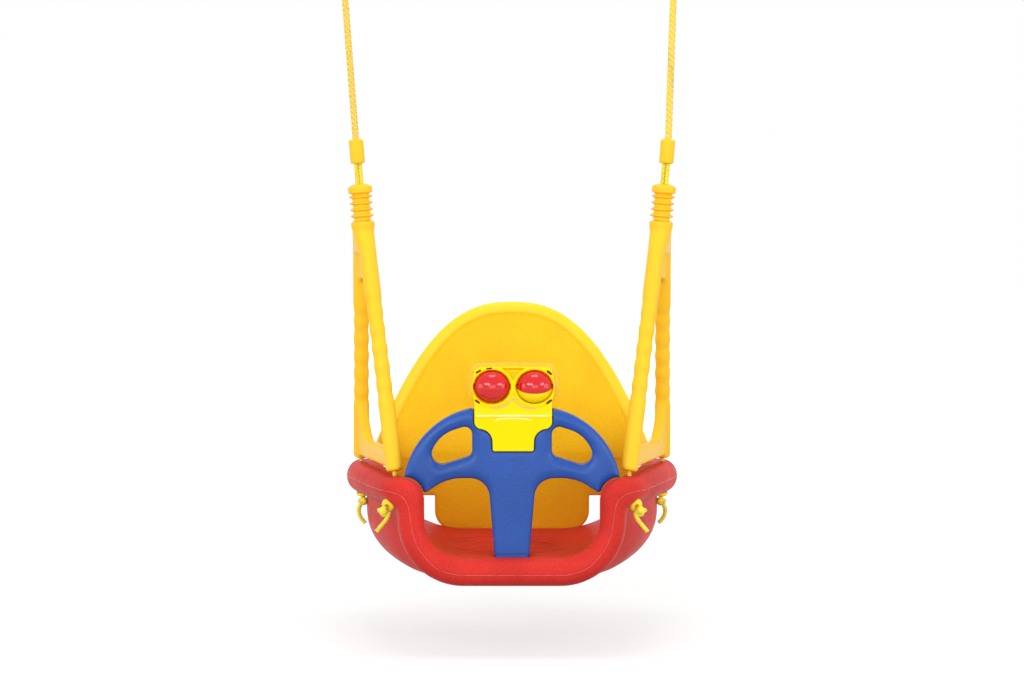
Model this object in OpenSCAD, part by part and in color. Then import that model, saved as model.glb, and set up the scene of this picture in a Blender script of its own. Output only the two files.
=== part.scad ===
// Toddler swing seat on two ropes. Millimetres, +Z up, +Y towards the backrest.
// The origin lies on the hanging line, which joins the centres of the two hang rings, above the seat's middle.

/* [Hanging] */
// Height of the hang rings above the feet of the side frames
hang_height = 660; // [600:10:900]
// Distance of the left hang ring from the seat's middle plane
hang_left = 215; // [208:1:222]
// Distance of the right hang ring from the seat's middle plane
hang_right = 205; // [202:1:222]
// Radius of the hang ring, to the middle of its wire
ring_r = 20; // [18:1:24]
// Diameter of the hang ring's wire
ring_wire = 7; // [5:0.5:8]
// Diameter of the upper rope
rope_d = 8; // [6:0.5:9]
// Diameter of the lower ropes
cord_d = 5; // [4:0.5:5.5]
// Running clearance between a rope and the hole that it passes through
rope_gap = 0.3; // [0.2:0.05:0.5]

/* [Seat shell] */
// Distance from the hanging plane to the front of the lip
seat_front = 125; // [118:1:132]
// Distance from the hanging plane to the back edge of the pan
seat_back = 122; // [116:1:130]
// Half of the inside width at the lip
inner_front = 108; // [104:1:110]
// Half of the inside width at the back
inner_back = 171; // [165:1:174]
// Thickness of the double wall
wall = 22; // [20:1:24]
// Thickness of the double floor
base = 32; // [28:1:36]
// Extra thickness of the rolled lip at the front
lip_extra = 10; // [4:1:12]
// Depth of the pan below the top of the flange
pan_depth = 98; // [85:1:110]
// Half of the flat part of the floor, across the seat
floor_flat = 60; // [50:1:62]
// Gap between the feet of the side frames and the flange
foot_gap = 4; // [3:0.5:8]
// Half of the width over the flanges at the front corner
flange_front = 165; // [163:1:170]
// Half of the width over the flanges at the back
flange_back = 222; // [216:1:226]
// How much lower the flange's top lies at its back end
flange_drop = 4; // [0:0.5:5]
// Thickness of the flange at its front end
flange_front_t = 32; // [28:1:36]
// Thickness of the flange at its back end
flange_back_t = 43; // [38:1:46]
// How much of the shell's thickness is hollow
hollow_share = 0.66; // [0.5:0.02:0.7]
// Where the hollow begins, behind the hanging plane
hollow_start = -10; // [-60:2:40]

/* [Side frames] */
// Distance between the front foot and the back foot, middle to middle
foot_span = 168; // [160:1:172]
// Distance of the side frame's middle from the seat's middle, at its feet
frame_x = 172; // [170:0.1:174]
// Angle that the side frames are turned, so that they follow the flange
frame_yaw = 18.3; // [17:0.1:19]
// Angle that the side frames lean outwards
frame_lean = 3.2; // [2.5:0.1:4]
// Angle that the collars lean outwards, in line with the ropes
collar_lean = 4.5; // [4:0.1:5]
// Height where the middle lines of the two legs would meet
apex_h = 340; // [320:1:345]
// Diameter of a leg
leg_d = 21.5; // [20:0.5:22]
// Depth of a grip wave in the leg
grip_wave = 1.5; // [0.5:0.1:2]
// Number of grip waves on a leg
grip_count = 5; // [3:1:5]
// Distance from one grip wave to the next
grip_pitch = 23.8; // [20:0.2:24]
// Wall of the hollow leg
leg_wall = 3; // [2:0.5:4]
// Thickness of the web panel and the foot bar
web_t = 13; // [10:1:16]

/* [Backrest] */
// Height of the backrest's top above the feet
back_top = 202.5; // [180:0.5:220]
// Half of the width of the dome at its foot
dome_half = 187; // [180:1:190]
// Thickness of the backrest
back_t = 12; // [10:1:14]
// Width of the backrest's rim, behind which its panel is thinner
back_rim = 16; // [14:1:20]
// Depth of the recess inside the rim, at the back
back_recess = 6; // [4:0.5:7]
// Angle that the backrest leans back
back_lean = 8.7; // [6:0.1:10]
// Half of the width of the tongue
tongue_half = 103; // [90:1:106]
// Depth of the tongue's rebate in the pan
tongue_seat = 3; // [2:0.5:6]

/* [Restraint bar] */
// Thickness of the bar, front to back
bar_t = 26; // [22:1:28]
// Radius of the outside of the grip arms
arm_r = 106.3; // [104:0.1:108]
// Half of the stem's width at the arms
stem_top_half = 29.5; // [27:0.5:31]
// Half of the stem's width at its foot
stem_foot_half = 21.5; // [18:0.5:23]
// Depth of the stem's socket in the pan
socket_depth = 16; // [10:1:18]
// Clearance around the stem in its socket
socket_gap = 0.4; // [0.3:0.1:0.8]

/* [Play console] */
// Radius of a play ball
ball_r = 20.3; // [18:0.1:20.8]
// Half of the distance between the two balls
ball_half = 26.2; // [25.6:0.1:27]
// Radius of a ball's axle
axle_r = 2; // [1.5:0.1:2.5]
// Wall of the console housings
console_wall = 2.2; // [1.8:0.1:2.6]
// Depth of the console, front to back
console_t = 20; // [18:1:24]
// Distance of the console's middle from the seat's middle
console_x = 1.5; // [0:0.5:2]
// Running clearance of the balls
ball_gap = 0.4; // [0.3:0.1:0.8]

/* [Hidden] */

red = [0.86, 0.17, 0.18];
orange_yellow = [1.0, 0.74, 0.13];
lemon = [1.0, 0.88, 0.05];
cord_yellow = [1.0, 0.85, 0.1];
blue = [0.16, 0.33, 0.68];
steel = [0.75, 0.76, 0.78];

// ---------- helpers ----------

// 0 before a, 1 after b, smooth between them
function smooth(a, b, v) = let (t = max(0, min(1, (v - a) / (b - a)))) t * t * (3 - 2 * t);
// Quick at first, level at t = 1
function ease(t, k) = 1 - pow(1 - max(0, min(1, t)), k);
function mix(a, b, t) = a + (b - a) * t;
function unit(v) = v / norm(v);
function reversed(list) = [for (i = [len(list) - 1:-1:0]) list[i]];
function mirrored(points) = [for (p = reversed(points)) [-p[0], p[1]]];

// A polygon's corners [x, y, radius] with each one turned into an arc
function rounded(corners, steps = 6) =
    let (n = len(corners))
    [for (i = [0:n - 1])
        let (c = corners[i], p = [c[0], c[1]],
             before = corners[(i + n - 1) % n], after = corners[(i + 1) % n],
             u = unit([before[0], before[1]] - p), v = unit([after[0], after[1]] - p),
             half = acos(max(-1, min(1, u * v))) / 2)
        if (c[2] == 0 || half > 89.5) p
        else
            let (middle = p + unit(u + v) * c[2] / sin(half),
                 from = p + u * c[2] / tan(half) - middle, to = p + v * c[2] / tan(half) - middle,
                 start = atan2(from[1], from[0]), swing = atan2(to[1], to[0]) - start,
                 turn = swing > 180 ? swing - 360 : swing < -180 ? swing + 360 : swing)
            each [for (k = [0:steps]) middle + c[2] * [cos(start + turn * k / steps), sin(start + turn * k / steps)]]];

// A tube of the given radius along a route of points, closed at both ends
module tube(route, radius, sides = 8) {
    last = len(route) - 1;
    ways = [for (i = [0:last]) unit(route[min(i + 1, last)] - route[max(i - 1, 0)])];
    side = abs(ways[0][1]) < 0.7 ? [0, 1, 0] : [1, 0, 0];
    // The first side vector, carried along the route without twisting
    frames = [for (i = 0, v = unit(cross(ways[0], side)); i <= last;
                   i = i + 1, v = i <= last ? unit(v - ways[i] * (v * ways[i])) : v) v];
    points = [for (i = [0:last], k = [0:sides - 1])
        let (a = frames[i], b = cross(ways[i], a), t = 360 * k / sides)
        route[i] + radius * (cos(t) * a + sin(t) * b)];
    walls = [for (i = [0:last - 1], k = [0:sides - 1])
        let (a = i * sides + k, b = i * sides + (k + 1) % sides, c = b + sides, d = a + sides)
        each [[d, b, a], [d, c, b]]];
    lids = [[for (k = [0:sides - 1]) k], [for (k = [sides - 1:-1:0]) last * sides + k]];
    polyhedron(points, concat(walls, lids), convexity = 4);
}

// Both halves of something, drawn for the right side, as "left" or "right"
module on_side(side) mirror([side == "left" ? 1 : 0, 0, 0]) children();
// From the feet plane of the side frames to the hanging line
module on_seat() translate([0, 0, -hang_height]) children();

// ---------- seat shell ----------

flange_top = -foot_gap;
floor_z = flange_top - pan_depth;
nose_r = 19;
back_nose_r = 11;
corner_r = 40;
back_corner_r = 32;
outer_corner_front = 80;
outer_corner_back = 60;
corner_front_h = 46;
corner_back_h = 87;
lip_start = -seat_front + nose_r;
back_start = seat_back - back_nose_r;

function seat_t(y) = (y - lip_start) / (back_start - lip_start);
function lip(y) = 1 - smooth(lip_start + 2, lip_start + 15, y);
function wall_in(y) = mix(inner_front, inner_back, ease(seat_t(y), 1.8));
function wall_t(y) = wall + lip_extra * lip(y);
function base_t(y) = base + lip_extra / 3 * lip(y);
function wall_out(y) = wall_in(y) + wall_t(y);
function flange_x(y) = mix(flange_front, flange_back, ease((y + seat_front - corner_r) / 207, 1.5));
function top_z(y) = flange_top - flange_drop * smooth(0, seat_back, y);
function flange_t(y) = mix(flange_front_t, flange_back_t, seat_t(y));
function shoulder_r(y) = mix(24, 14, smooth(lip_start, 0, y));
function outer_corner(y) = mix(outer_corner_front, outer_corner_back, smooth(lip_start, -40, y));
function corner_h(y) = mix(corner_front_h, corner_back_h, ease(seat_t(y), 1.8));

// How full the section is, from 0 at a rounded end to 1, and how far its flange reaches out
function fullness(y) =
    y < lip_start ? sqrt(max(0, 1 - pow((lip_start - y) / nose_r, 2)))
    : y > back_start ? sqrt(max(0, 1 - pow((y - back_start) / back_nose_r, 2))) : 1;
function reach(y) =
    let (front_c = -seat_front + corner_r, back_c = seat_back - back_corner_r)
    y < front_c ? (corner_r - 2 + 2 * fullness(y)) / corner_r
                  * sqrt(max(0.0025, 1 - pow((front_c - y) / corner_r, 2)))
    : y > back_c ? mix(1, 0.4, 1 - sqrt(max(0, 1 - pow((y - back_c) / back_corner_r, 2)))) : 1;

function quarter(cx, cz, a, b, from, to, steps) =
    [for (k = [0:steps]) let (t = from + (to - from) * k / steps) [cx + a * cos(t), cz + b * sin(t)]];

// The inside of half a section, from the flange's tip to the middle of the floor
function section_in(y, steps) =
    let (tip = flange_x(y), t = flange_t(y), top = top_z(y), zm = top - t / 2, w = wall_in(y), r = shoulder_r(y),
         a = min(18, tip - w - r - 2), h = corner_h(y))
    concat(quarter(tip - a, zm, a, t / 2, 0, 90, steps),
           quarter(w + r, top - r, r, r, 90, 180, steps),
           quarter(floor_flat, floor_z + h, w - floor_flat, h, 0, -90, 2 * steps),
           [[0, floor_z]]);
// The outside of half a section, with a point for each point of the inside
function section_out(y, steps) =
    let (tip = flange_x(y), t = flange_t(y), top = top_z(y), zm = top - t / 2, w = wall_out(y), r = 6,
         a = tip - w - r - 2, c = outer_corner(y), bottom = floor_z - base_t(y))
    concat(quarter(tip - a, zm, a, t / 2, 0, -90, steps),
           quarter(w + r, top - t - r, r, r, 90, 180, steps),
           quarter(w - c, bottom + c, c, c, 0, -90, 2 * steps),
           [[0, bottom]]);

// One closed ring of the shell at y: across the inside and back along the outside.
// share is 1 for the shell itself, and less for the hollow inside it
function seat_ring(y, steps, share) =
    let (a = section_in(y, steps), b = section_out(y, steps), n = len(a) - 1, s = fullness(y) * share,
         c = reach(y) * (share < 1 ? 0.88 : 1),
         wall_mid = (wall_in(y) + wall_out(y)) / 2,
         middle = [for (i = [0:n]) let (m = (a[i] + b[i]) / 2)
                   [m[0] > wall_mid ? wall_mid + (m[0] - wall_mid) * c : m[0], m[1]]],
         top = [for (i = [0:n]) middle[i] + (a[i] - (a[i] + b[i]) / 2) * s],
         under = [for (i = [0:n]) middle[i] + (b[i] - (a[i] + b[i]) / 2) * s])
    [for (p = concat([for (i = [0:n]) [-top[i][0], top[i][1]]],
                     [for (i = [n - 1:-1:0]) top[i]],
                     [for (i = [1:n]) under[i]],
                     [for (i = [n - 1:-1:1]) [-under[i][0], under[i][1]]]))
        [p[0], y, p[1]]];

seat_steps = 4;
nose_steps = 5;
seat_rows = concat(
    [for (k = [0:nose_steps - 1]) lip_start - nose_r * cos(4 + 86 * k / nose_steps)],
    [for (k = [0:5]) lip_start + 3 * k],
    [for (k = [1:9]) mix(lip_start + 15, back_start, k / 9)],
    [for (k = [1:nose_steps - 1]) back_start + back_nose_r * sin(86 * k / (nose_steps - 1))]);

hollow_end = 100;
hollow_rows = [for (k = [0:5]) mix(hollow_start, hollow_end, k / 5)];

module seat_solid(rows, steps, share) {
    rings = [for (y = rows) seat_ring(y, steps, share)];
    m = len(rings[0]);
    last = len(rings) - 1;
    points = [for (r = rings) each r];
    walls = [for (i = [0:last - 1], k = [0:m - 1])
        let (a = i * m + k, b = i * m + (k + 1) % m, c = b + m, d = a + m)
        each [[a, d, b], [b, d, c]]];
    // An end is a strip between the inside and the outside of its ring
    ends = [for (e = [0, last], k = [0:m / 2 - 1])
        let (a = e * m + k, b = e * m + k + 1, c = e * m + (m - k - 1) % m, d = e * m + (m - k) % m)
        each (e == 0 ? [[a, b, c], [a, c, d]] : [[a, c, b], [a, d, c]])];
    real = [for (f = concat(walls, ends))
        if (f[0] != f[1] && f[1] != f[2] && f[0] != f[2]) f];
    polyhedron(points, real, convexity = 8);
}

// ---------- where the side frames stand ----------

leg_lean = atan(foot_span / 2 / apex_h);
leg_r = leg_d / 2;

module on_frame() translate([frame_x, 0, 0]) rotate([0, frame_lean, 0]) rotate([0, 0, -frame_yaw]) children();
// The same place for one point: q out of the frame's plane, p along it to the back, w up
function frame_point(q, p, w) =
    let (x = q * cos(frame_yaw) + p * sin(frame_yaw), y = p * cos(frame_yaw) - q * sin(frame_yaw))
    [frame_x + x * cos(frame_lean) + w * sin(frame_lean), y, w * cos(frame_lean) - x * sin(frame_lean)];
// The same two for the collar, which leans on its own from the head of the frame
module on_collar() translate(frame_point(0, 0, head_top)) rotate([0, collar_lean, 0])
    rotate([0, 0, -frame_yaw]) translate([0, 0, -head_top]) children();
function collar_point(q, p, w) =
    let (x = q * cos(frame_yaw) + p * sin(frame_yaw), y = p * cos(frame_yaw) - q * sin(frame_yaw), h = w - head_top)
    frame_point(0, 0, head_top)
        + [x * cos(collar_lean) + h * sin(collar_lean), y, h * cos(collar_lean) - x * sin(collar_lean)];
function leg_point(end, w) = frame_point(0, end * foot_span / 2 * (1 - w / apex_h), w);

foot_front = leg_point(-1, 0);
foot_back = leg_point(1, 0);

// ---------- rope holes, caps, knots ----------

hole_r = cord_d / 2 + rope_gap;
cap_r = 8.5;
cap_h = 5;
knot_r = 7;
// The way from the cap to the middle of the knot
front_knot_way = unit([-0.3, -0.6, -0.75]);
back_knot_way = unit([0, 0.1, -1]);
// Where a lower rope bends inside the shell, and the way it leaves: [elbow depth, way, length to the cap]
front_elbow = 22;
front_way = unit([0.5, -0.5, -0.7]);
front_reach = 21;
back_elbow = 30;
back_way = unit([-0.08, 0.12, -1]);
back_reach = 18;
function elbow(end) = end < 0 ? foot_front + [0, 0, -front_elbow] : foot_back + [0, 0, -back_elbow];
function way(end) = end < 0 ? front_way : back_way;
function cap_seat(end) = elbow(end) + way(end) * (end < 0 ? front_reach : back_reach);

module along_way(end) {
    w = way(end);
    translate(cap_seat(end)) rotate([0, acos(w[2]), atan2(w[1], w[0])]) children();
}

module rope_hole(end) {
    foot = end < 0 ? foot_front : foot_back;
    drop = end < 0 ? front_elbow : back_elbow;
    translate(foot - [0, 0, drop]) cylinder(r = hole_r, h = drop + 20, $fn = 32);
    translate(elbow(end)) sphere(r = hole_r + 0.8, $fn = 32);
    along_way(end) translate([0, 0, -(end < 0 ? front_reach : back_reach)])
        cylinder(r = hole_r, h = 60, $fn = 32);
    // The flat that the cap sits on
    along_way(end) cylinder(r = cap_r + 1, h = 40, $fn = 48);
}

// ---------- backrest ----------

bar_front = lip_start + 2;
tongue_front = seat_back - back_t;
fit_gap = 0.3;
dome_foot = flange_top - flange_drop + fit_gap;
insert_top = 2;
insert_bottom = -58;
insert_half = wall_in(tongue_front) - 3;
insert_corner = 40;
tongue_bottom = floor_z - tongue_seat + fit_gap;
tongue_corner = 26;
pin_x = dome_half - 9;
pin_r = 3.5;
pin_h = 26;
pin_in_dome = 12;

// Half of the dome's outline: level over its top, steeper and steeper towards its foot
dome_power = 2.46;
dome_steps = 18;
dome_half_outline = concat(
    [[dome_half, dome_foot]],
    [for (k = [0:dome_steps]) let (x = dome_half * (1 - k / dome_steps))
        [x, back_top * (1 - pow(x / dome_half, dome_power))]]);
insert_outline = [
    [insert_half, insert_top, 0], [insert_half, insert_bottom, insert_corner],
    [tongue_half, insert_bottom, 0], [tongue_half, tongue_bottom, tongue_corner],
    [-tongue_half, tongue_bottom, tongue_corner], [-tongue_half, insert_bottom, 0],
    [-insert_half, insert_bottom, insert_corner], [-insert_half, insert_top, 0]];

module upright_plate(t) translate([0, t, 0]) rotate([90, 0, 0]) linear_extrude(t) children();
module dome_outline() polygon(concat(dome_half_outline, mirrored(dome_half_outline)));
// The recess at the dome's back, with two ribs left standing in it
rib_x = 62;
rib_w = 6;
module dome_recess() difference() {
    offset(delta = -back_rim) dome_outline();
    for (x = [-rib_x, rib_x]) translate([x - rib_w / 2, 0]) square([rib_w, back_top]);
}
module at_pins() for (side = [-1, 1]) translate([side * pin_x, tongue_front + back_t / 2 + 1, dome_foot]) children();

module backrest() {
    color(orange_yellow) on_seat() difference() {
        union() {
            translate([0, tongue_front, dome_foot]) rotate([-back_lean, 0, 0]) translate([0, 0, -dome_foot])
                difference() {
                    upright_plate(back_t) dome_outline();
                    translate([0, back_t - back_recess, 0]) upright_plate(back_recess + 1) dome_recess();
                }
            translate([0, tongue_front, 0])
                upright_plate(back_t - fit_gap) polygon(rounded(insert_outline));
        }
        // The dome's foot is cut level, where it stands on the flanges
        translate([insert_half, -500, dome_foot - 20]) cube([500, 1000, 20]);
        translate([-insert_half - 500, -500, dome_foot - 20]) cube([500, 1000, 20]);
        at_pins() translate([0, 0, -1]) cylinder(r = pin_r + 0.05, h = pin_in_dome + 1.5, $fn = 32);
    }
}

module backrest_pins() {
    color(orange_yellow) on_seat() at_pins()
        translate([0, 0, pin_in_dome - pin_h]) cylinder(r = pin_r, h = pin_h, $fn = 32);
}

// ---------- restraint bar ----------

arm_x = 29;
arm_z = -22.4;
hub_top = 81;
window_x = 49.2;
window_tip = 109;
panel_half = 47.7;
panel_neck = 25.1;
panel_bottom = 29.7;
panel_shoulder = 58.5;
panel_depth = 8;
panel_gap = 0.5;
stem_foot = floor_z - socket_depth + fit_gap;
shoulder_x = wall_in(bar_front) + shoulder_r(bar_front);
shoulder_z = flange_top - shoulder_r(bar_front);
arm_under = -4.6;

function arc(x, z, r, from, to, steps) =
    [for (k = [0:steps]) let (t = mix(from, to, k / steps)) [x + r * cos(t), z + r * sin(t)]];

// Half of the bar's outline, from the top of the hub round the arm to the foot of the stem
hub_half = 50.5;
foot_rest = 0.2;
rest_gap = 2 * fit_gap;
bar_half_outline = concat(
    [[0, hub_top], [hub_half, hub_top]],
    arc(arm_x, arm_z, arm_r, acos((hub_half - arm_x) / arm_r), asin((flange_top + rest_gap - arm_z) / arm_r), 16),
    // The arm's end follows the seat's rolled edge
    arc(shoulder_x, shoulder_z, shoulder_r(bar_front) + rest_gap, 90, 163, 10),
    rounded([[shoulder_x - 27, shoulder_z + 6, 0], [79, arm_under, 60], [stem_top_half, arm_under, 24],
             [stem_foot_half, floor_z + foot_rest, 0], [0, floor_z + foot_rest, 0]], 8));
bar_window = [[window_x, 23.5, 9], [window_tip, 4.5, 13], [window_tip - 19, 49.5, 43], [window_x, 62.4, 9]];
panel_outline = [[panel_half, hub_top + 6, 0], [panel_half, panel_shoulder, 9], [26, panel_shoulder - 3.5, 16],
                 [panel_neck, panel_bottom, 2], [-panel_neck, panel_bottom, 2], [-26, panel_shoulder - 3.5, 16],
                 [-panel_half, panel_shoulder, 9], [-panel_half, hub_top + 6, 0]];
screw_x = 16;
screw_z = 44;
screw_r = 1.75;
screw_head_r = 3.5;

module along_y(from, to) translate([0, to, 0]) rotate([90, 0, 0]) linear_extrude(to - from) children();
module at_screws() for (side = [-1, 1]) translate([side * screw_x, 0, screw_z]) rotate([-90, 0, 0]) children();

module restraint_bar() {
    color(blue) on_seat() difference() {
        union() {
            along_y(bar_front, bar_front + bar_t)
                polygon(concat(bar_half_outline, mirrored(bar_half_outline)));
            // The tenon that goes into the seat's socket
            translate([0, bar_front + bar_t / 2, stem_foot]) stem_section(-fit_gap, socket_depth + 6);
        }
        for (side = ["left", "right"]) on_side(side)
            along_y(bar_front - 1, bar_front + bar_t + 1) polygon(rounded(bar_window, 8));
        // The recess for the console's front panel
        translate([console_x, 0, 0]) {
            along_y(bar_front - 1, bar_front + panel_depth) offset(delta = panel_gap) polygon(rounded(panel_outline));
            at_screws() {
                translate([0, 0, bar_front]) cylinder(r = screw_r + 0.3, h = bar_t + 1, $fn = 24);
                translate([0, 0, bar_front + bar_t - 3]) cylinder(r = screw_head_r + 0.4, h = 4, $fn = 24);
            }
        }
    }
}

// ---------- play console ----------

console_front_y = bar_front - 1;
console_middle = console_front_y + console_t / 2;
ball_z = 109;
console_top = 133;
console_half = 51.3;
console_rim = 4.7;
console_waist = 48;
console_low = 88;
console_foot = hub_top + fit_gap;
window_r = ball_r + ball_gap;
ring_wall = 2.5;
// Half of each housing's outline: the back one stands out as a rim around the front one
function console_half_outline(rim) = [
    [console_waist - 0.3 + rim / 9, console_foot, 0], [console_waist - 0.3 + rim / 9, console_low, 10],
    [console_half + rim, ball_z, 28], [console_half + 0.4 * rim - 4, console_top + 0.8 * rim, 11],
    [0, console_top + 1 + rim, 150]];
// The four slots in the front housing, and the hooks that snap into them
slot_x = 43.5;
slot_low = 92;
slot_high = 126;
slot_size = [4, 2.4];
slot_gap = 0.5;

// A ball: a sphere that runs out to a small point at each pole
ball_wall = 2;
pole = 23.2;
pole_r = 3.4;
pole_gap = 0.5;
bore_fit = 0.15;
ball_long = 1.1;
function ball_edge(r) = [for (k = [0:16]) let (t = -78 + 156 * k / 16) [r * cos(t), ball_long * r * sin(t)]];
ball_profile = concat(
    [[axle_r + bore_fit, -pole], [pole_r, -pole]],
    ball_edge(ball_r),
    [[pole_r, pole], [axle_r + bore_fit, pole], [axle_r + bore_fit, ball_r - ball_wall - 3]],
    reversed(ball_edge(ball_r - ball_wall)),
    [[axle_r + bore_fit, -ball_r + ball_wall + 3]]);
// How far each half ball is turned about its axle
left_turn = 270;
right_turn = 201;
// An axle's half length: it ends inside the housing's blocks on both sides of the ball
axle_half = 24.9;

module console_plan(rim) {
    half = console_half_outline(rim);
    polygon(rounded(concat(half, [for (i = [len(half) - 2:-1:0]) [-half[i][0], half[i][1], half[i][2]]])));
}
module at_balls() for (side = [-1, 1]) translate([side * ball_half, 0, 0]) children();
module ball_windows(grow) at_balls() translate([0, ball_z]) scale([ball_long, 1]) circle(r = window_r + grow, $fn = 72);
module at_slots() for (x = [-slot_x, slot_x], z = [slot_low, slot_high]) translate([x, z]) children();
module along_axle(half, r) translate([-half, console_middle, ball_z]) rotate([0, 90, 0])
    cylinder(r = r, h = 2 * half, $fn = 32);

// A shell with an open middle plane; its face lies at y = face
module console_shell(face, open, rim) {
    inward = open > face ? 1 : -1;
    inside = [face + inward * console_wall, open + inward];
    block = 2 * (ball_half - pole - pole_gap);
    difference() {
        along_y(min(face, open), max(face, open)) difference() {
            console_plan(rim);
            ball_windows(0);
        }
        along_y(min(inside), max(inside)) difference() {
            offset(delta = -console_wall) console_plan(rim);
            ball_windows(ring_wall);
            // The blocks that hold the axles
            translate([-block / 2, ball_z - 7]) square([block, 14]);
            for (x = [-1, 1]) translate([x * (ball_half + pole + pole_gap + 4), ball_z]) square([8, 14], center = true);
        }
        at_balls() {
            along_axle(axle_half + 0.2, axle_r + 0.05);
            along_axle(pole + pole_gap, pole_r + pole_gap);
        }
    }
}
module on_console() on_seat() translate([console_x, 0, 0]) children();

module console_front() {
    color(lemon) on_console() difference() {
        union() {
            console_shell(console_front_y, console_middle, 0);
            along_y(console_front_y, bar_front + panel_depth - fit_gap) difference() {
                polygon(rounded(panel_outline));
                translate([-100, console_foot]) square([200, 100]);
            }
            // The apron's top joins the panel to the housing
            along_y(console_front_y, console_front_y + console_wall) translate([-panel_half, hub_top - 4])
                square([2 * panel_half, 8]);
        }
        along_y(console_front_y - 1, console_middle + 1) at_slots() square(slot_size, center = true);
        at_screws() translate([0, 0, console_front_y + 3]) cylinder(r = screw_r, h = 20, $fn = 24);
    }
}

module console_back() {
    color([1.0, 0.93, 0.35]) on_console() union() {
        console_shell(console_front_y + console_t, console_middle, console_rim);
        along_y(console_front_y + 0.5, console_front_y + console_t - 1) at_slots()
            square(slot_size - [slot_gap, slot_gap], center = true);
    }
}

module console_screws() {
    color(steel) on_console() at_screws() {
        translate([0, 0, bar_front + bar_t - 3]) cylinder(r = screw_head_r, h = 2.4, $fn = 24);
        translate([0, 0, console_front_y + 5])
            cylinder(r = screw_r, h = bar_front + bar_t - console_front_y - 8, $fn = 24);
    }
}

module ball_axle(side) {
    color(steel) on_console() on_side(side) translate([ball_half, 0, 0]) along_axle(axle_half, axle_r);
}

// Half of a ball, with its split plane turned about the axle
module ball_shell(side, turn) {
    on_console() translate([(side == "left" ? -1 : 1) * ball_half, console_middle, ball_z])
        rotate([turn, 0, 0]) rotate([0, 90, 0]) rotate([0, 0, -90])
            rotate_extrude(angle = 180, $fn = 64) polygon(ball_profile);
}

// ---------- side frames ----------

grip_front = 108;
grip_back = 92;
bar_low = 3;
bar_high = 27;
web_low = 237;
neck_low = 280;
head_low = 297;
head_top = 311;
head_r = 15.3;
skin = 0.1;
leg_foot_wall = 6;
spigot_r = 8.7;
bore_r = 5.6;
spigot_low = head_low - 4;
chamber_r = 7.2;
chamber_p = 6;
chamber_h = 18;

// How far the grip is cut into the leg at height w; first is the height of the lowest wave's crest
function wave(w, first) = let (n = (w - first) / grip_pitch, m = max(0, min(1, 2 * min(n + 0.9, grip_count - 0.1 - n))))
    grip_wave * m * (0.6 - 0.4 * cos(360 * n));
module leg(end, first) {
    translate([0, end * foot_span / 2, 0]) rotate([end * leg_lean, 0, 0]) rotate_extrude($fn = 48)
        polygon(concat([[0, 0], [leg_r - 1.5, 0], [leg_r, 1.5]],
                       [for (k = [-1:6 * grip_count + 1])
                           let (w = first + grip_pitch * (k / 6 - 0.5)) [leg_r - wave(w, first), w]],
                       [[leg_r, neck_low + 4], [0, neck_low + 4]]));
}
// What is inside the leg: a hollow, and a rope hole in its foot
module leg_bore(end) {
    translate([0, end * foot_span / 2, 0]) rotate([end * leg_lean, 0, 0]) {
        translate([0, 0, leg_foot_wall]) cylinder(r = leg_r - leg_wall, h = neck_low + 6 - leg_foot_wall, $fn = 32);
        translate([0, 0, -5]) cylinder(r = hole_r, h = leg_foot_wall + 10, $fn = 32);
    }
}

arch_r = sin(leg_lean) * (apex_h - web_low) / (1 - sin(leg_lean));
corner_in = 16;
corner_back = 30;
module frame_plate() {
    half = foot_span / 2;
    rise = bar_high + corner_in;
    run = half * (1 - rise / apex_h) - corner_in / cos(leg_lean);
    rise_back = bar_high + corner_back;
    run_back = half * (1 - rise_back / apex_h) - corner_back / cos(leg_lean);
    difference() {
        polygon([[-half * (1 - bar_low / apex_h), bar_low], [half * (1 - bar_low / apex_h), bar_low],
                 [half * (1 - head_low / apex_h), head_low], [-half * (1 - head_low / apex_h), head_low]]);
        hull() {
            translate([0, web_low - arch_r]) circle(r = arch_r, $fn = 48);
            translate([run_back, rise_back]) circle(r = corner_back, $fn = 48);
            translate([-run, rise]) circle(r = corner_in, $fn = 32);
        }
    }
}

module side_frame(side) {
    color(orange_yellow) on_seat() on_side(side) difference() {
        on_frame() difference() {
            union() {
                leg(-1, grip_front);
                leg(1, grip_back);
                translate([-web_t / 2, 0, 0]) rotate([90, 0, 90]) linear_extrude(web_t) frame_plate();
                // The neck runs from the two legs into the head
                hull() {
                    for (end = [-1, 1]) translate([0, end * foot_span / 2, 0]) rotate([end * leg_lean, 0, 0])
                        translate([0, 0, neck_low]) cylinder(r = leg_r + skin, h = 4, $fn = 48);
                    translate([0, 0, head_low + 2]) cylinder(r = head_r - 1.5 - skin, h = 2, $fn = 48);
                }
                rotate_extrude($fn = 48) polygon([[0, head_low + 3], [head_r - 1.5, head_low + 3],
                    [head_r, head_low + 6], [head_r, head_top], [0, head_top]]);
            }
            leg_bore(-1);
            leg_bore(1);
        }
        // The collar's socket
        on_collar() {
            translate([0, 0, spigot_low - 1]) cylinder(r = spigot_r + fit_gap / 2, h = 40, $fn = 48);
            translate([0, 0, spigot_low - 5]) cylinder(r = spigot_r - 1, h = 6, $fn = 48);
            // The chamber where the ropes cross over into the legs
            for (end = [-1, 1]) translate([0, end * chamber_p, spigot_low - chamber_h - 4])
                cylinder(r = chamber_r, h = chamber_h, $fn = 48);
        }
    }
}

// ---------- collars and sleeves ----------

rib_count = 4;
rib_first = head_top + 6.5;
rib_pitch = 8;
rib_r = 14.8;
neck_r = 10.5;
disc_low = 347;
disc_r = 15.2;
collar_top = 357.5;
sleeve_low = 383.5;
sleeve_h = 30.5;
sleeve_r = 9.2;
strand = cord_d / 2 + 0.15;

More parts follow.
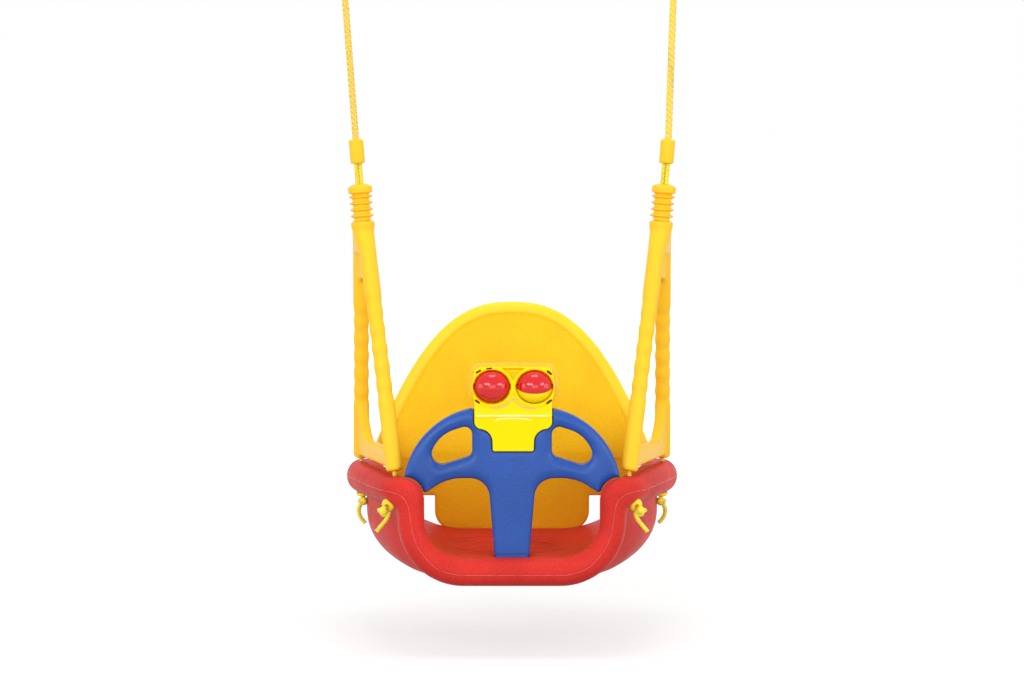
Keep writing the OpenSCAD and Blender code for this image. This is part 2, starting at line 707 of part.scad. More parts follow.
module rope_collar(side) {
    color(orange_yellow) on_seat() on_side(side) on_collar() rotate_extrude($fn = 48) polygon(concat(
        [[bore_r, spigot_low], [spigot_r, spigot_low], [spigot_r, head_top + fit_gap], [neck_r, head_top + fit_gap]],
        [for (k = [0:rib_count - 1], e = [-2.2, -0.6, 0.6, 2.2])
            [abs(e) > 1 ? neck_r : rib_r, rib_first + k * rib_pitch + e]],
        [[neck_r, disc_low - 1.5], [disc_r - 1, disc_low - 1], [disc_r, disc_low], [disc_r, collar_top - 5],
         [disc_r - 1.5, collar_top - 3], [8, collar_top], [bore_r, collar_top]]));
}

module rope_sleeve(side) {
    color(orange_yellow) on_seat() on_side(side) on_collar() difference() {
        rotate_extrude($fn = 48) polygon([[0, sleeve_low], [sleeve_r - 1.5, sleeve_low], [sleeve_r, sleeve_low + 1.5],
            [sleeve_r, sleeve_low + sleeve_h - 1.5], [sleeve_r - 1.5, sleeve_low + sleeve_h], [0, sleeve_low + sleeve_h]]);
        // The upper rope's bore, and the two bores of the lower ropes
        translate([0, 0, sleeve_low + sleeve_h / 2]) cylinder(r = rope_d / 2 + rope_gap, h = sleeve_h, $fn = 32);
        for (s = [-1, 1]) translate([s * strand, 0, sleeve_low - 1])
            cylinder(r = hole_r, h = sleeve_h / 2 - 1, $fn = 32);
    }
}

// ---------- ropes ----------

// A lower rope's points in the side frame: [q, p, w], from the sleeve down to the foot
function strand_route(end) = [
    for (w = [sleeve_low + 12, collar_top + 12, collar_top - 8, head_top + 14, spigot_low + 1])
        collar_point(-end * strand, w > head_top ? 0 : end, w)];
// From the spigot over into the leg: [p, w]
crossing = [[5.5, 286], [10.5, 277], [16, 265]];
function leg_route(end) = concat([for (c = crossing) frame_point(0, end * c[0], c[1])],
                                 [for (w = [240, 180, 120, 60, 12, 1]) leg_point(end, w)]);
// From the foot down through the shell to the knot
function shell_route(end) = let (e = elbow(end), foot = end < 0 ? foot_front : foot_back, v = way(end))
    [foot - [0, 0, 8], e + [0, 0, 5], e + 1.2 * v + [0, 0, 1.2], e + 6 * v, cap_seat(end) + v * (cap_h + 1)];
// A tail's points from the middle of its knot
tail_front = [[-4.5, -1, -3], [-4, -1.5, -9], [-1, -2, -16], [5, -2, -22.5], [13, -2.5, -32]];
tail_back = [[2, 0, -3], [5, 0, -8], [6, -0.5, -14], [4, -1, -21], [-2, -1, -29]];
function knot_centre(end) =
    cap_seat(end) + way(end) * cap_h + (end < 0 ? front_knot_way : back_knot_way) * (knot_r - 0.5);
function tail_route(end) = [for (p = end < 0 ? tail_front : tail_back) knot_centre(end) + p];

// The upper rope's line from the sleeve to the hang ring, in the plane of the two ropes
rope_start = collar_point(0, 0, sleeve_low + sleeve_h / 2 + 2);
rope_exit = collar_point(0, 0, sleeve_low + sleeve_h + 3);
function hang_x(side) = side == "left" ? hang_left : hang_right;
function rope_lean(side) = atan((hang_x(side) - rope_exit[0]) / (hang_height - rope_exit[2]));
function rope_point(side, drop) =
    [hang_x(side) - drop * sin(rope_lean(side)), 0, hang_height - drop * cos(rope_lean(side))];
function upper_route(side) = concat(
    [for (drop = [eye_low + 4, 80, 130, 180]) rope_point(side, drop)], [rope_exit, rope_start]);
eye_r = 16;
eye_gap = 0.9;
eye_top = ring_r - ring_wire / 2 - rope_d / 2 - eye_gap;
eye_low = eye_top + 2 * eye_r + 14;
eye_knot_r = 9;

module lower_rope(end, side) {
    color(cord_yellow) on_seat() on_side(side)
        tube(concat(strand_route(end), leg_route(end), shell_route(end)), cord_d / 2, 8);
}
module rope_cap(end, side) {
    color(cord_yellow) on_seat() on_side(side) along_way(end) difference() {
        union() {
            cylinder(r = cap_r, h = cap_h / 2, $fn = 48);
            translate([0, 0, cap_h / 2]) cylinder(r1 = cap_r, r2 = cap_r - 2, h = cap_h / 2, $fn = 48);
        }
        translate([0, 0, -1]) cylinder(r = hole_r, h = cap_h + 2, $fn = 32);
    }
}
module stopper_knot(end, side) {
    color(cord_yellow) on_seat() on_side(side) translate(knot_centre(end)) sphere(r = knot_r, $fn = 32);
}
module rope_tail(end, side) {
    color(cord_yellow) on_seat() on_side(side) tube(tail_route(end), cord_d / 2, 8);
}
module upper_rope(side) {
    color(cord_yellow) on_seat() on_side(side) tube(upper_route(side), rope_d / 2, 8);
}
module on_rope(side) translate([hang_x(side), 0, 0]) rotate([0, rope_lean(side), 0]) children();
// The eye hangs in the ring: a loop whose two ends go into the knot
module rope_eye(side) {
    color(cord_yellow) on_side(side) on_rope(side)
        tube(concat([[1.5, 0, -eye_low + 4]],
                    [for (k = [0:12]) let (t = -55 + 290 * k / 12) [eye_r * cos(t), 0, -eye_top - eye_r + eye_r * sin(t)]],
                    [[-1.5, 0, -eye_low + 4]]), rope_d / 2, 8);
}
module eye_knot(side) {
    color(cord_yellow) on_side(side) on_rope(side)
        translate([0, 0, -eye_low - 2]) sphere(r = eye_knot_r, $fn = 32);
}
module hang_ring(side) {
    color(steel) on_side(side) translate([hang_x(side), 0, 0]) rotate([0, 90, 0])
        rotate_extrude($fn = 64) translate([ring_r, 0]) circle(r = ring_wire / 2, $fn = 32);
}

// ---------- the seat shell with its holes ----------

module stem_section(grow, h) {
    x = stem_foot_half + grow;
    y = bar_t / 2 + grow;
    linear_extrude(h) polygon(rounded([[x, y, 4], [-x, y, 4], [-x, -y, 4], [x, -y, 4]]));
}

module seat_shell() {
    color(red) on_seat() difference() {
        seat_solid(seat_rows, seat_steps, 1);
        // The hollow of the double wall
        seat_solid(hollow_rows, 3, hollow_share);
        for (side = ["left", "right"], end = [-1, 1]) on_side(side) rope_hole(end);
        // The stem's socket
        translate([0, bar_front + bar_t / 2, floor_z - socket_depth]) stem_section(socket_gap, 60);
        // The tongue's rebate, open to the back
        translate([-tongue_half - fit_gap, tongue_front - fit_gap, floor_z - tongue_seat])
            cube([2 * (tongue_half + fit_gap), 40, 60]);
        at_pins() translate([0, 0, pin_in_dome - pin_h - fit_gap]) cylinder(r = pin_r + 0.05, h = pin_h, $fn = 32);
    }
}

seat_shell();
backrest();
backrest_pins();
restraint_bar();
console_front();
console_back();
console_screws();
ball_axle("left");  // ball_axle_left
ball_axle("right");  // ball_axle_right
color(red) ball_shell("left", left_turn);  // ball_left_red
color(lemon) ball_shell("left", left_turn + 180);  // ball_left_yellow
color(red) ball_shell("right", right_turn);  // ball_right_red
color(lemon) ball_shell("right", right_turn + 180);  // ball_right_yellow
side_frame("left");  // side_frame_left
side_frame("right");  // side_frame_right
rope_collar("left");  // rope_collar_left
rope_collar("right");  // rope_collar_right
rope_sleeve("left");  // rope_sleeve_left
rope_sleeve("right");  // rope_sleeve_right
lower_rope(-1, "left");  // front_rope_left
lower_rope(-1, "right");  // front_rope_right
lower_rope(1, "left");  // back_rope_left
lower_rope(1, "right");  // back_rope_right
rope_cap(-1, "left");  // cap_front_left
rope_cap(-1, "right");  // cap_front_right
rope_cap(1, "left");  // cap_back_left
rope_cap(1, "right");  // cap_back_right
stopper_knot(-1, "left");  // knot_front_left
stopper_knot(-1, "right");  // knot_front_right
stopper_knot(1, "left");  // knot_back_left
stopper_knot(1, "right");  // knot_back_right
rope_tail(-1, "left");  // tail_front_left
rope_tail(-1, "right");  // tail_front_right
rope_tail(1, "left");  // tail_back_left
rope_tail(1, "right");  // tail_back_right
upper_rope("left");  // upper_rope_left
upper_rope("right");  // upper_rope_right
rope_eye("left");  // rope_eye_left
rope_eye("right");  // rope_eye_right
eye_knot("left");  // eye_knot_left
eye_knot("right");  // eye_knot_right
hang_ring("left");  // hang_ring_left
hang_ring("right");  // hang_ring_right
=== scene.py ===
# The looks of the toddler swing seat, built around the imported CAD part. Metres, +Z up, +Y to the backrest.
import math
import bmesh
import bpy
import numpy as np
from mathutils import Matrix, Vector
from mathutils.geometry import delaunay_2d_cdt


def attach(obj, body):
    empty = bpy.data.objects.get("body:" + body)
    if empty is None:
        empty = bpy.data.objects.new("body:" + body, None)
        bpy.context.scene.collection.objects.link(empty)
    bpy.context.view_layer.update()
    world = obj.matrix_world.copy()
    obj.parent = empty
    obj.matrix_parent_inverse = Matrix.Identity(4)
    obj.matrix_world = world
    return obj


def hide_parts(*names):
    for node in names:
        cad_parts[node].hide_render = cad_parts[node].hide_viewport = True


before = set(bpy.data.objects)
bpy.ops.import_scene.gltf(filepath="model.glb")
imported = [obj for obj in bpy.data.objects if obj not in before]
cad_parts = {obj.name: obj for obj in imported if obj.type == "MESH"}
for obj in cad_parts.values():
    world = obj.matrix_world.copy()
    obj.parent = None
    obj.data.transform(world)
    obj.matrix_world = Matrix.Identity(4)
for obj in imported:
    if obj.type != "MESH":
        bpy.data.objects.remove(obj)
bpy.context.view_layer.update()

MM = 0.001
HANG = 660.0   # from the hanging line down to the feet of the side frames
COLLECTION = bpy.context.scene.collection
SIDES = ("left", "right")


# ---------- small helpers, in millimetres ----------

def mix(a, b, t):
    return a + (b - a) * t


def smooth(a, b, v):
    t = np.clip((v - a) / (b - a), 0, 1)
    return t * t * (3 - 2 * t)


def ease(t, k):
    return 1 - (1 - np.clip(t, 0, 1)) ** k


def cosd(t):
    return math.cos(math.radians(t))


def sind(t):
    return math.sin(math.radians(t))


def unit(v):
    v = np.asarray(v, float)
    return v / np.linalg.norm(v)


def rounded(corners, steps=8):
    """A polygon's corners (x, z, radius) with each one turned into an arc."""
    out, n = [], len(corners)
    for i in range(n):
        p = np.array(corners[i][:2], float)
        u = unit(np.array(corners[i - 1][:2], float) - p)
        v = unit(np.array(corners[(i + 1) % n][:2], float) - p)
        r = corners[i][2]
        half = math.acos(max(-1, min(1, float(u @ v)))) / 2
        if r == 0 or half > math.radians(89.5):
            out.append(p)
            continue
        middle = p + unit(u + v) * r / math.sin(half)
        a = p + u * r / math.tan(half) - middle
        b = p + v * r / math.tan(half) - middle
        start = math.atan2(a[1], a[0])
        swing = (math.atan2(b[1], b[0]) - start + math.pi) % (2 * math.pi) - math.pi
        for k in range(steps + 1):
            t = start + swing * k / steps
            out.append(middle + r * np.array([math.cos(t), math.sin(t)]))
    return np.array(out)


def columns(*parts):
    """Numbers, or rows of numbers, side by side as points."""
    return np.stack(np.broadcast_arrays(*parts), -1)


def along(p):
    """How far along a line each of its points is."""
    return np.concatenate([[0], np.cumsum(np.linalg.norm(np.diff(p, axis=0), axis=1))])


def rounded_box(x, y, r, steps=8):
    return rounded([(x, y, r), (-x, y, r), (-x, -y, r), (x, -y, r)], steps)


def both_halves(right, middle=()):
    """The corners (x, z, radius) of a symmetrical outline, from those of its right half."""
    return [*right, *middle, *((-x, z, r) for x, z, r in reversed(right))]


def resample(points, step, closed=True):
    """The same line with points at an even distance, near to step."""
    p = np.asarray(points, float)
    if closed:
        p = np.vstack([p, p[:1]])
    p = p[np.concatenate([[True], np.linalg.norm(np.diff(p, axis=0), axis=1) > 1e-6])]
    s = along(p)
    at = np.linspace(0, s[-1], max(2, int(round(s[-1] / step))) + 1)
    out = columns(*[np.interp(at, s, column) for column in p.T])
    return out[:-1] if closed else out


def spline(points, step):
    """A smooth line through the points (centripetal Catmull-Rom), with points every step."""
    def between(a, b, start, end, t):
        return (end - t) / (end - start) * a + (t - start) / (end - start) * b

    p = np.asarray(points, float)
    p = np.vstack([2 * p[0] - p[1], p, 2 * p[-1] - p[-2]])
    out = []
    for i in range(1, len(p) - 2):
        q = p[i - 1:i + 3]
        at = [0.0]
        for k in range(3):
            at.append(at[-1] + max(1e-4, np.linalg.norm(q[k + 1] - q[k])) ** 0.5)
        for t in np.linspace(at[1], at[2], 12, endpoint=False):
            a = [between(q[k], q[k + 1], at[k], at[k + 1], t) for k in range(3)]
            b = [between(a[k], a[k + 1], at[k], at[k + 2], t) for k in range(2)]
            out.append(between(*b, at[1], at[2], t))
    out.append(p[-2])
    return resample(np.array(out), step, closed=False)


def make(name, verts, faces, material=None, body="seat", slot=None, replaces=(), uv=None, sharp=None):
    """A mesh piece from points in millimetres over the feet plane, lowered to the hanging line.
    Edges sharper than sharp degrees stay sharp."""
    mesh = bpy.data.meshes.new(name)
    mesh.from_pydata(metres(verts), [], [list(map(int, f)) for f in faces])
    mesh.update()
    obj = bpy.data.objects.new(name, mesh)
    COLLECTION.objects.link(obj)
    for p in mesh.polygons:
        p.use_smooth = True
    if uv is not None:
        layer = mesh.uv_layers.new(name="UVMap")
        index = np.empty(len(mesh.loops), np.int32)
        mesh.loops.foreach_get("vertex_index", index)
        layer.data.foreach_set("uv", np.asarray(uv, np.float32)[index].ravel())
    if material:
        mesh.materials.append(material)
    if body:
        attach(obj, body)
    if replaces:
        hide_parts(replaces)
    if sharp:
        smooth_by_angle(obj, sharp)
    return obj


def repaint(obj, material, chosen):
    """Give the chosen faces of a piece another material."""
    obj.data.materials.append(material)
    for i in np.flatnonzero(chosen):
        obj.data.polygons[int(i)].material_index = 1


def metres(points):
    return ((np.asarray(points, float) - [0, 0, HANG]) * MM).tolist()


def smooth_by_angle(obj, degrees):
    """Smooth faces, with the edges sharper than this left sharp."""
    bm = bmesh.new()
    bm.from_mesh(obj.data)
    limit = math.radians(degrees)
    for f in bm.faces:
        f.smooth = True
    for e in bm.edges:
        e.smooth = len(e.link_faces) == 2 and e.calc_face_angle(0) < limit
    bm.to_mesh(obj.data)
    bm.free()


def faced_out(obj, weld=0.0):
    """The object with its faces turned outwards, and points nearer than weld metres joined."""
    bm = bmesh.new()
    bm.from_mesh(obj.data)
    if weld:
        bmesh.ops.remove_doubles(bm, verts=bm.verts, dist=weld)
    bmesh.ops.recalc_face_normals(bm, faces=bm.faces)
    bm.to_mesh(obj.data)
    bm.free()
    return obj


def grid_faces(rows, cols, closed_cols=True, closed_rows=False):
    out = []
    for i in range(rows if closed_rows else rows - 1):
        for k in range(cols if closed_cols else cols - 1):
            a, b = i * cols, (i + 1) % rows * cols
            out.append((a + k, a + (k + 1) % cols, b + (k + 1) % cols, b + k))
    return out


def lids(sides, total):
    """The faces that close a tube at its first and last ring."""
    return [tuple(range(sides - 1, -1, -1)), tuple(range(total - sides, total))]


def fan(angles, u, v):
    """Directions at angles from u towards v."""
    return np.cos(angles)[:, None] * u + np.sin(angles)[:, None] * v


def carried(path):
    """Along a route: the direction, and two side vectors that don't twist."""
    p = np.asarray(path, float)
    way = np.gradient(p, axis=0)
    way /= np.linalg.norm(way, axis=1)[:, None]
    side = np.zeros_like(p)
    seed = np.array([0, 1.0, 0]) if abs(way[0][1]) < 0.7 else np.array([1.0, 0, 0])
    side[0] = unit(np.cross(way[0], seed))
    for i in range(1, len(p)):
        v = side[i - 1] - way[i] * (side[i - 1] @ way[i])
        side[i] = v / np.linalg.norm(v)
    return way, side, np.cross(way, side)


def sweep(path, radius, sides=10, flat=1.0, across=None, caps=True):
    """Verts, faces and uv of a tube along a route. radius may change along it; flat squeezes it along across."""
    p = np.asarray(path, float)
    way, u, v = carried(p)
    if across is not None:
        a = across - way * np.sum(across * way, axis=1)[:, None]
        u = a / np.linalg.norm(a, axis=1)[:, None]
        v = np.cross(way, u)
    r = np.broadcast_to(np.asarray(radius, float), (len(p),))
    t = np.arange(sides) * 2 * math.pi / sides
    ring = (np.cos(t)[None, :, None] * u[:, None] * flat + np.sin(t)[None, :, None] * v[:, None]) * r[:, None, None]
    verts = (p[:, None] + ring).reshape(-1, 3)
    faces = grid_faces(len(p), sides)
    s = along(p)
    uv = columns(np.repeat(s, sides), np.tile(np.arange(sides) / sides, len(p)))
    if caps:
        faces += lids(sides, len(verts))
    return verts, faces, uv


def joined(parts):
    """Several (verts, faces) or (verts, faces, uv) as one (verts, faces, uv)."""
    verts, faces, uvs, n = [], [], [], 0
    for v, f, *uv in parts:
        verts.append(v)
        faces += [tuple(i + n for i in face) for face in f]
        uvs.append(uv[0] if uv else np.zeros((len(v), 2)))
        n += len(v)
    return np.vstack(verts), faces, np.vstack(uvs)


def merged(*parts):
    return joined(parts)[:2]


def revolve(profile, steps=64, turn=360.0, start=0.0):
    """Verts and faces of (radius, height) points turned about Z."""
    closed = turn >= 360
    n = steps if closed else steps + 1
    t = np.radians(start + turn * np.arange(n) / steps)
    p = np.asarray(profile, float)
    verts = np.stack([np.outer(np.cos(t), p[:, 0]), np.outer(np.sin(t), p[:, 0]), np.tile(p[:, 1], (n, 1))], 2)
    faces = grid_faces(n, len(p), closed_cols=False, closed_rows=closed)
    return verts.reshape(-1, 3), faces


# ---------- materials ----------

NO_GRAIN = 0.0008   # the depth in mm of the fine texture of a polished surface


def wire(tree, node, inputs):
    """Fill a node's inputs. One that is given a socket is linked to it, and any other holds the value."""
    for key, value in dict(inputs).items():
        if isinstance(value, bpy.types.NodeSocket):
            tree.links.new(value, node.inputs[key])
        else:
            node.inputs[key].default_value = value
    return node


def add_node(tree, kind, inputs=(), **settings):
    node = tree.nodes.new("ShaderNode" + kind)
    for key, value in settings.items():
        setattr(node, key, value)
    return wire(tree, node, inputs)


def maths(tree, operation, a, b=0.0):
    return add_node(tree, "Math", {0: a, 1: b}, operation=operation).outputs[0]


def ramp(tree, level, dark, light, low=0.0, high=1.0):
    """A colour from dark at the level low to light at the level high."""
    node = add_node(tree, "ValToRGB", {"Fac": level})
    for element, at, colour in zip(node.color_ramp.elements, (low, high), (dark, light)):
        element.position = at
        element.color = (*colour, 1)
    return node.outputs["Color"]


def bump(tree, height, depth, strength=1.0, under=None):
    """A bump of this depth in mm, on top of the normal under it."""
    node = add_node(tree, "Bump", {"Height": height, "Strength": strength, "Distance": depth * MM})
    return wire(tree, node, {"Normal": under} if under else {}).outputs["Normal"]


def new_material(name):
    m = bpy.data.materials.new(name)
    m.use_nodes = True
    return m, m.node_tree, m.node_tree.nodes["Principled BSDF"]


def plastic(name, color, rough=0.4, grain=0.0, grain_mm=0.9, mottle=0.05, coat=0.0, spec=0.5, soft=0.0, wide=0.12):
    """Moulded plastic. grain is the depth in mm of its fine texture, wide that of its slow waves,
    mottle how much its colour varies, and soft how much light goes under its skin."""
    m, tree, shader = new_material(name)
    where = add_node(tree, "TexCoord").outputs["Object"]

    def noise(scale, detail, rough_=0.5):
        return add_node(tree, "TexNoise", {"Vector": where, "Scale": scale, "Detail": detail,
                                           "Roughness": rough_}).outputs["Fac"]

    def spread(source, low, high, a=0.3, b=0.7):
        return add_node(tree, "MapRange", {"Value": source, "From Min": a, "From Max": b,
                                           "To Min": low, "To Max": high}).outputs["Result"]

    fine, c = noise(1000 / grain_mm, 2, 0.6), np.array(color)
    both = maths(tree, "ADD", spread(noise(14, 2), 0.0, 0.45), spread(fine, 0.0, 0.55, 0.38, 0.62))
    waves = bump(tree, noise(45, 1), wide) if wide else None
    wire(tree, shader, {
        "Base Color": ramp(tree, both, c * (1 - mottle) * [1, 0.97, 0.95], np.clip(c * (1 + mottle * 0.5), 0, 1)),
        "Roughness": spread(noise(70, 3), rough - 0.04, rough + 0.05),
        "Normal": bump(tree, fine, grain or NO_GRAIN, under=waves),
        "Specular IOR Level": spec, "Coat Weight": coat, "Coat Roughness": 0.09, "Coat IOR": 1.6,
        "Subsurface Weight": soft, "Subsurface Radius": (0.006, 0.004, 0.0015), "Subsurface Scale": 1.0})
    return m


def rope_material(name, color, yarns=9, slant=0.35, gap_shade=(0.72, 0.6, 0.5)):
    """Twisted fibre. UV x runs along a strand in mm, and y round it. The gaps between its yarns are darkened by the
    given factor, a painted shade in the crevices.
    """
    m, tree, shader = new_material(name)
    uv = add_node(tree, "SeparateXYZ", {0: add_node(tree, "UVMap", uv_map="UVMap").outputs["UV"]}).outputs
    turn = maths(tree, "ADD", maths(tree, "MULTIPLY", uv["X"], slant), maths(tree, "MULTIPLY", uv["Y"], float(yarns)))
    yarn = maths(tree, "ABSOLUTE", maths(tree, "SINE", maths(tree, "MULTIPLY", turn, math.pi)))
    fibre = add_node(tree, "TexNoise", {"Vector": add_node(tree, "TexCoord").outputs["Object"],
                                        "Scale": 1600, "Detail": 2}).outputs["Fac"]
    height = maths(tree, "ADD", yarn, maths(tree, "MULTIPLY", fibre, 0.5))
    wire(tree, shader, {
        "Base Color": ramp(tree, height, np.array(color) * gap_shade, color, 0.15, 0.8),
        "Normal": bump(tree, height, 0.25, 0.8),
        "Roughness": 0.55, "Sheen Weight": 0.35, "Sheen Roughness": 0.4, "Specular IOR Level": 0.4})
    return m


def steel_material():
    m, tree, shader = new_material("galvanised_steel")
    where = add_node(tree, "TexCoord").outputs["Object"]
    spots = add_node(tree, "TexVoronoi", {"Vector": where, "Scale": 180}).outputs["Color"]
    cloud = add_node(tree, "TexNoise", {"Vector": where, "Scale": 400}).outputs["Fac"]
    wire(tree, shader, {
        "Metallic": 1.0, "Base Color": ramp(tree, spots, (0.42, 0.43, 0.45), (0.66, 0.67, 0.69)),
        "Roughness": add_node(tree, "MapRange", {"Value": cloud, "To Min": 0.22, "To Max": 0.42}).outputs["Result"],
        "Normal": bump(tree, cloud, 0.03)})
    return m


RED = plastic("red_moulded_plastic", (0.67, 0.038, 0.030), 0.40, grain=0.34, grain_mm=1.5, mottle=0.28,
              soft=0.05, spec=0.05)
# The parting line's ridge is real; its lighter red than the shell is a painted highlight along it.
FLASH_HIGHLIGHT = plastic("red_mould_flash_painted_highlight", (0.76, 0.10, 0.08), 0.3, mottle=0.35)
PANEL = plastic("orange_yellow_panel", (0.98, 0.60, 0.008), 0.42, grain=0.28, grain_mm=1.6, mottle=0.14,
                soft=0.05, spec=0.12)
# The backrest's rim is smooth and ungrained, and its lighter colour than the panel is a painted highlight along its
# crest.
RIM_HIGHLIGHT = plastic("orange_yellow_rim_painted_highlight", (0.98, 0.70, 0.03), 0.32, mottle=0.05, soft=0.05, spec=0.15)
FRAME = plastic("yellow_frame_plastic", (0.98, 0.575, 0.028), 0.30, mottle=0.02, soft=0.08, spec=0.08, wide=0.0)
BLUE = plastic("blue_moulded_plastic", (0.015, 0.076, 0.355), 0.32, grain=0.26, grain_mm=1.4, mottle=0.26, spec=0.3)
LEMON = plastic("lemon_gloss_plastic", (0.98, 0.72, 0.001), 0.2, mottle=0.02, spec=0.06, wide=0.0)
# A deeper amber for the sunk place between the sockets: painted shade in the recess.
RECESS_SHADE = plastic("amber_painted_recess_shade", (0.97, 0.52, 0.001), 0.25, mottle=0.03, spec=0.06, wide=0.0)
# Pale for the beads along the console's bend and arch: a painted highlight on those edges.
PAINTED_HIGHLIGHT = plastic("pale_painted_highlight_edge", (0.98, 0.90, 0.50), 0.12, mottle=0.02, coat=0.4, wide=0.0)
# Near black amber for the plates just behind the slots: painted shade inside the slots.
SLOT_SHADE = plastic("dark_painted_slot_shade", (0.16, 0.03, 0.004), 0.6, mottle=0.2, spec=0.2)
BALL_RED = plastic("red_gloss_plastic", (0.64, 0.004, 0.008), 0.18, mottle=0.02, coat=0.6, wide=0.0, spec=0.1)
BALL_YELLOW = plastic("yellow_gloss_plastic", (1.0, 0.78, 0.001), 0.18, mottle=0.02, coat=0.25, wide=0.0, spec=0.1)
# Pink for the line under the two sockets: a painted reflection of the red balls in the lemon face.
BALL_REFLECTION = plastic("pink_painted_ball_reflection", (0.93, 0.46, 0.20), 0.18, mottle=0.03, coat=0.3)
CLEAR = plastic("clear_yellow_plastic", (1.0, 0.74, 0.10), 0.30, mottle=0.02, spec=0.2, wide=0.0)
wire(CLEAR.node_tree, CLEAR.node_tree.nodes["Principled BSDF"], {"Transmission Weight": 0.5, "IOR": 1.1})
STEEL = steel_material()
ROPE = rope_material("rope_golden_yellow", (0.97, 0.70, 0.10))
CORD = rope_material("rope_bright_yellow", (0.98, 0.84, 0.05), yarns=7, gap_shade=(0.40, 0.30, 0.25))
CAP = plastic("yellow_cap_plastic", (0.95, 0.74, 0.03), 0.34, mottle=0.05)


# ---------- where things are, from the part's own lengths ----------

FRAME_X, YAW, LEAN, COLLAR_LEAN = 172.0, 18.3, 3.2, 4.5
FOOT_SPAN, APEX = 168.0, 340.0
LEG_LEAN = math.degrees(math.atan(FOOT_SPAN / 2 / APEX))
LEG_R, NECK_LOW, HEAD_LOW, HEAD_TOP, HEAD_R = 10.75, 280.0, 297.0, 311.0, 15.3
DISC_LOW, COLLAR_TOP = 347.0, 357.5
SLEEVE_LOW, SLEEVE_H, SLEEVE_R = 383.5, 30.5, 9.2
SPIGOT_LOW = HEAD_LOW - 4
CORD_D, ROPE_D = 5.0, 8.0
STRAND = CORD_D / 2 + 0.15


def to_frame(v):
    """From the side frame's own axes (q, p, w) to the seat's, for the right side."""
    q, p, w = np.asarray(v, float).T
    x, y = q * cosd(YAW) + p * sind(YAW), p * cosd(YAW) - q * sind(YAW)
    return columns(FRAME_X + x * cosd(LEAN) + w * sind(LEAN), y, w * cosd(LEAN) - x * sind(LEAN))


def to_collar(v):
    """The same from the axes of the collar, which leans more than its frame."""
    q, p, w = np.asarray(v, float).T
    x, y, h = q * cosd(YAW) + p * sind(YAW), p * cosd(YAW) - q * sind(YAW), w - HEAD_TOP
    c, s = cosd(COLLAR_LEAN), sind(COLLAR_LEAN)
    return to_frame([0, 0, HEAD_TOP]) + columns(x * c + h * s, y, h * c - x * s)


def leg_point(end, w):
    return to_frame([0, end * FOOT_SPAN / 2 * (1 - w / APEX), w])


def sided(points, side):
    p = np.asarray(points, float)
    return p * [-1, 1, 1] if side == "left" else p


HANG_X = {"left": 215.0, "right": 205.0}
RING_R, RING_WIRE, EYE_R = 20.0, 7.0, 16.0
EYE_TOP = RING_R - RING_WIRE / 2 - ROPE_D / 2 - 0.9
EYE_LOW = EYE_TOP + 2 * EYE_R + 14
ROPE_START = to_collar([0, 0, SLEEVE_LOW + SLEEVE_H / 2 + 2])
ROPE_EXIT = to_collar([0, 0, SLEEVE_LOW + SLEEVE_H + 3])


def rope_lean(side):
    return math.degrees(math.atan((HANG_X[side] - ROPE_EXIT[0]) / (HANG - ROPE_EXIT[2])))


def rope_local(side, x, z):
    """A point beside the upper rope, from the hang ring's centre, for the right side."""
    a = rope_lean(side)
    return np.array([HANG_X[side] + x * cosd(a) + z * sind(a), 0, HANG + z * cosd(a) - x * sind(a)])


# The two ends of a side frame: how the rope leaves its leg, and which way its knot hangs
END_NAME = {-1: "front", 1: "back"}
ELBOW, REACH = {-1: 22.0, 1: 30.0}, {-1: 21.0, 1: 18.0}
WAY_OUT = {-1: unit([0.5, -0.5, -0.7]), 1: unit([-0.08, 0.12, -1])}
KNOT_WAY = {-1: unit([-0.3, -0.6, -0.75]), 1: unit([0, 0.1, -1])}
TAIL = {-1: [[-4.5, -1, -3], [-3.5, -1.5, -8], [-0.5, -2, -13.5], [4, -2, -19], [10.5, -2.5, -27]],
        1: [[2, 0, -3], [5, 0, -8], [6, -0.5, -14], [4, -1, -21], [-2, -1, -29]]}
CAP_R, CAP_H, KNOT_R = 8.5, 5.0, 7.0


def elbow(end):
    return leg_point(end, 0) - [0, 0, ELBOW[end]]


def cap_seat(end):
    return elbow(end) + WAY_OUT[end] * REACH[end]


# ---------- camera ----------

CAMERA_AT, CAMERA_TILT, CAMERA_LENS, CAMERA_SENSOR = (0, -2.667, -0.29316), 85.5, 73.83, 36


def add_camera():
    data = bpy.data.cameras.new("camera")
    data.sensor_width = CAMERA_SENSOR
    data.lens = CAMERA_LENS
    cam = bpy.data.objects.new("camera", data)
    cam.location = CAMERA_AT
    cam.rotation_euler = (math.radians(CAMERA_TILT), 0, 0)
    COLLECTION.objects.link(cam)
    bpy.context.scene.camera = cam


# ---------- ropes ----------

def laid(path, d, pitch, hand=1, sides=8, fill=0.27, step=1.1):
    """A laid rope: three strands wound round the route, each fill times d in radius."""
    p = resample(path, step, closed=False)
    _, u, v = carried(p)
    turn = hand * 2 * math.pi * along(p) / pitch
    return joined([sweep(p + (0.5 - fill) * d * fan(turn + 2 * math.pi * k / 3, u, v), fill * d, sides)
                   for k in range(3)])


def braided(path, d, pitch, pairs=4, sides=8, step=1.0):
    """A braided rope: as many strands one way round as the other, over and under, on a core."""
    p = resample(path, step, closed=False)
    s = along(p)
    _, u, v = carried(p)
    thick = 0.135 * d
    parts = [sweep(p[::3], 0.28 * d, 8)]
    for k in range(2 * pairs):
        sign = 1 if k < pairs else -1
        out = fan(sign * 2 * math.pi * s / pitch + 2 * math.pi * (k % pairs) / pairs, u, v)
        r = d / 2 - 1.75 * thick + sign * 0.75 * thick * np.cos(2 * math.pi * s * pairs / pitch)
        parts.append(sweep(p + out * r[:, None], 0.215 * d, sides, flat=0.63, across=out))
    return joined(parts)


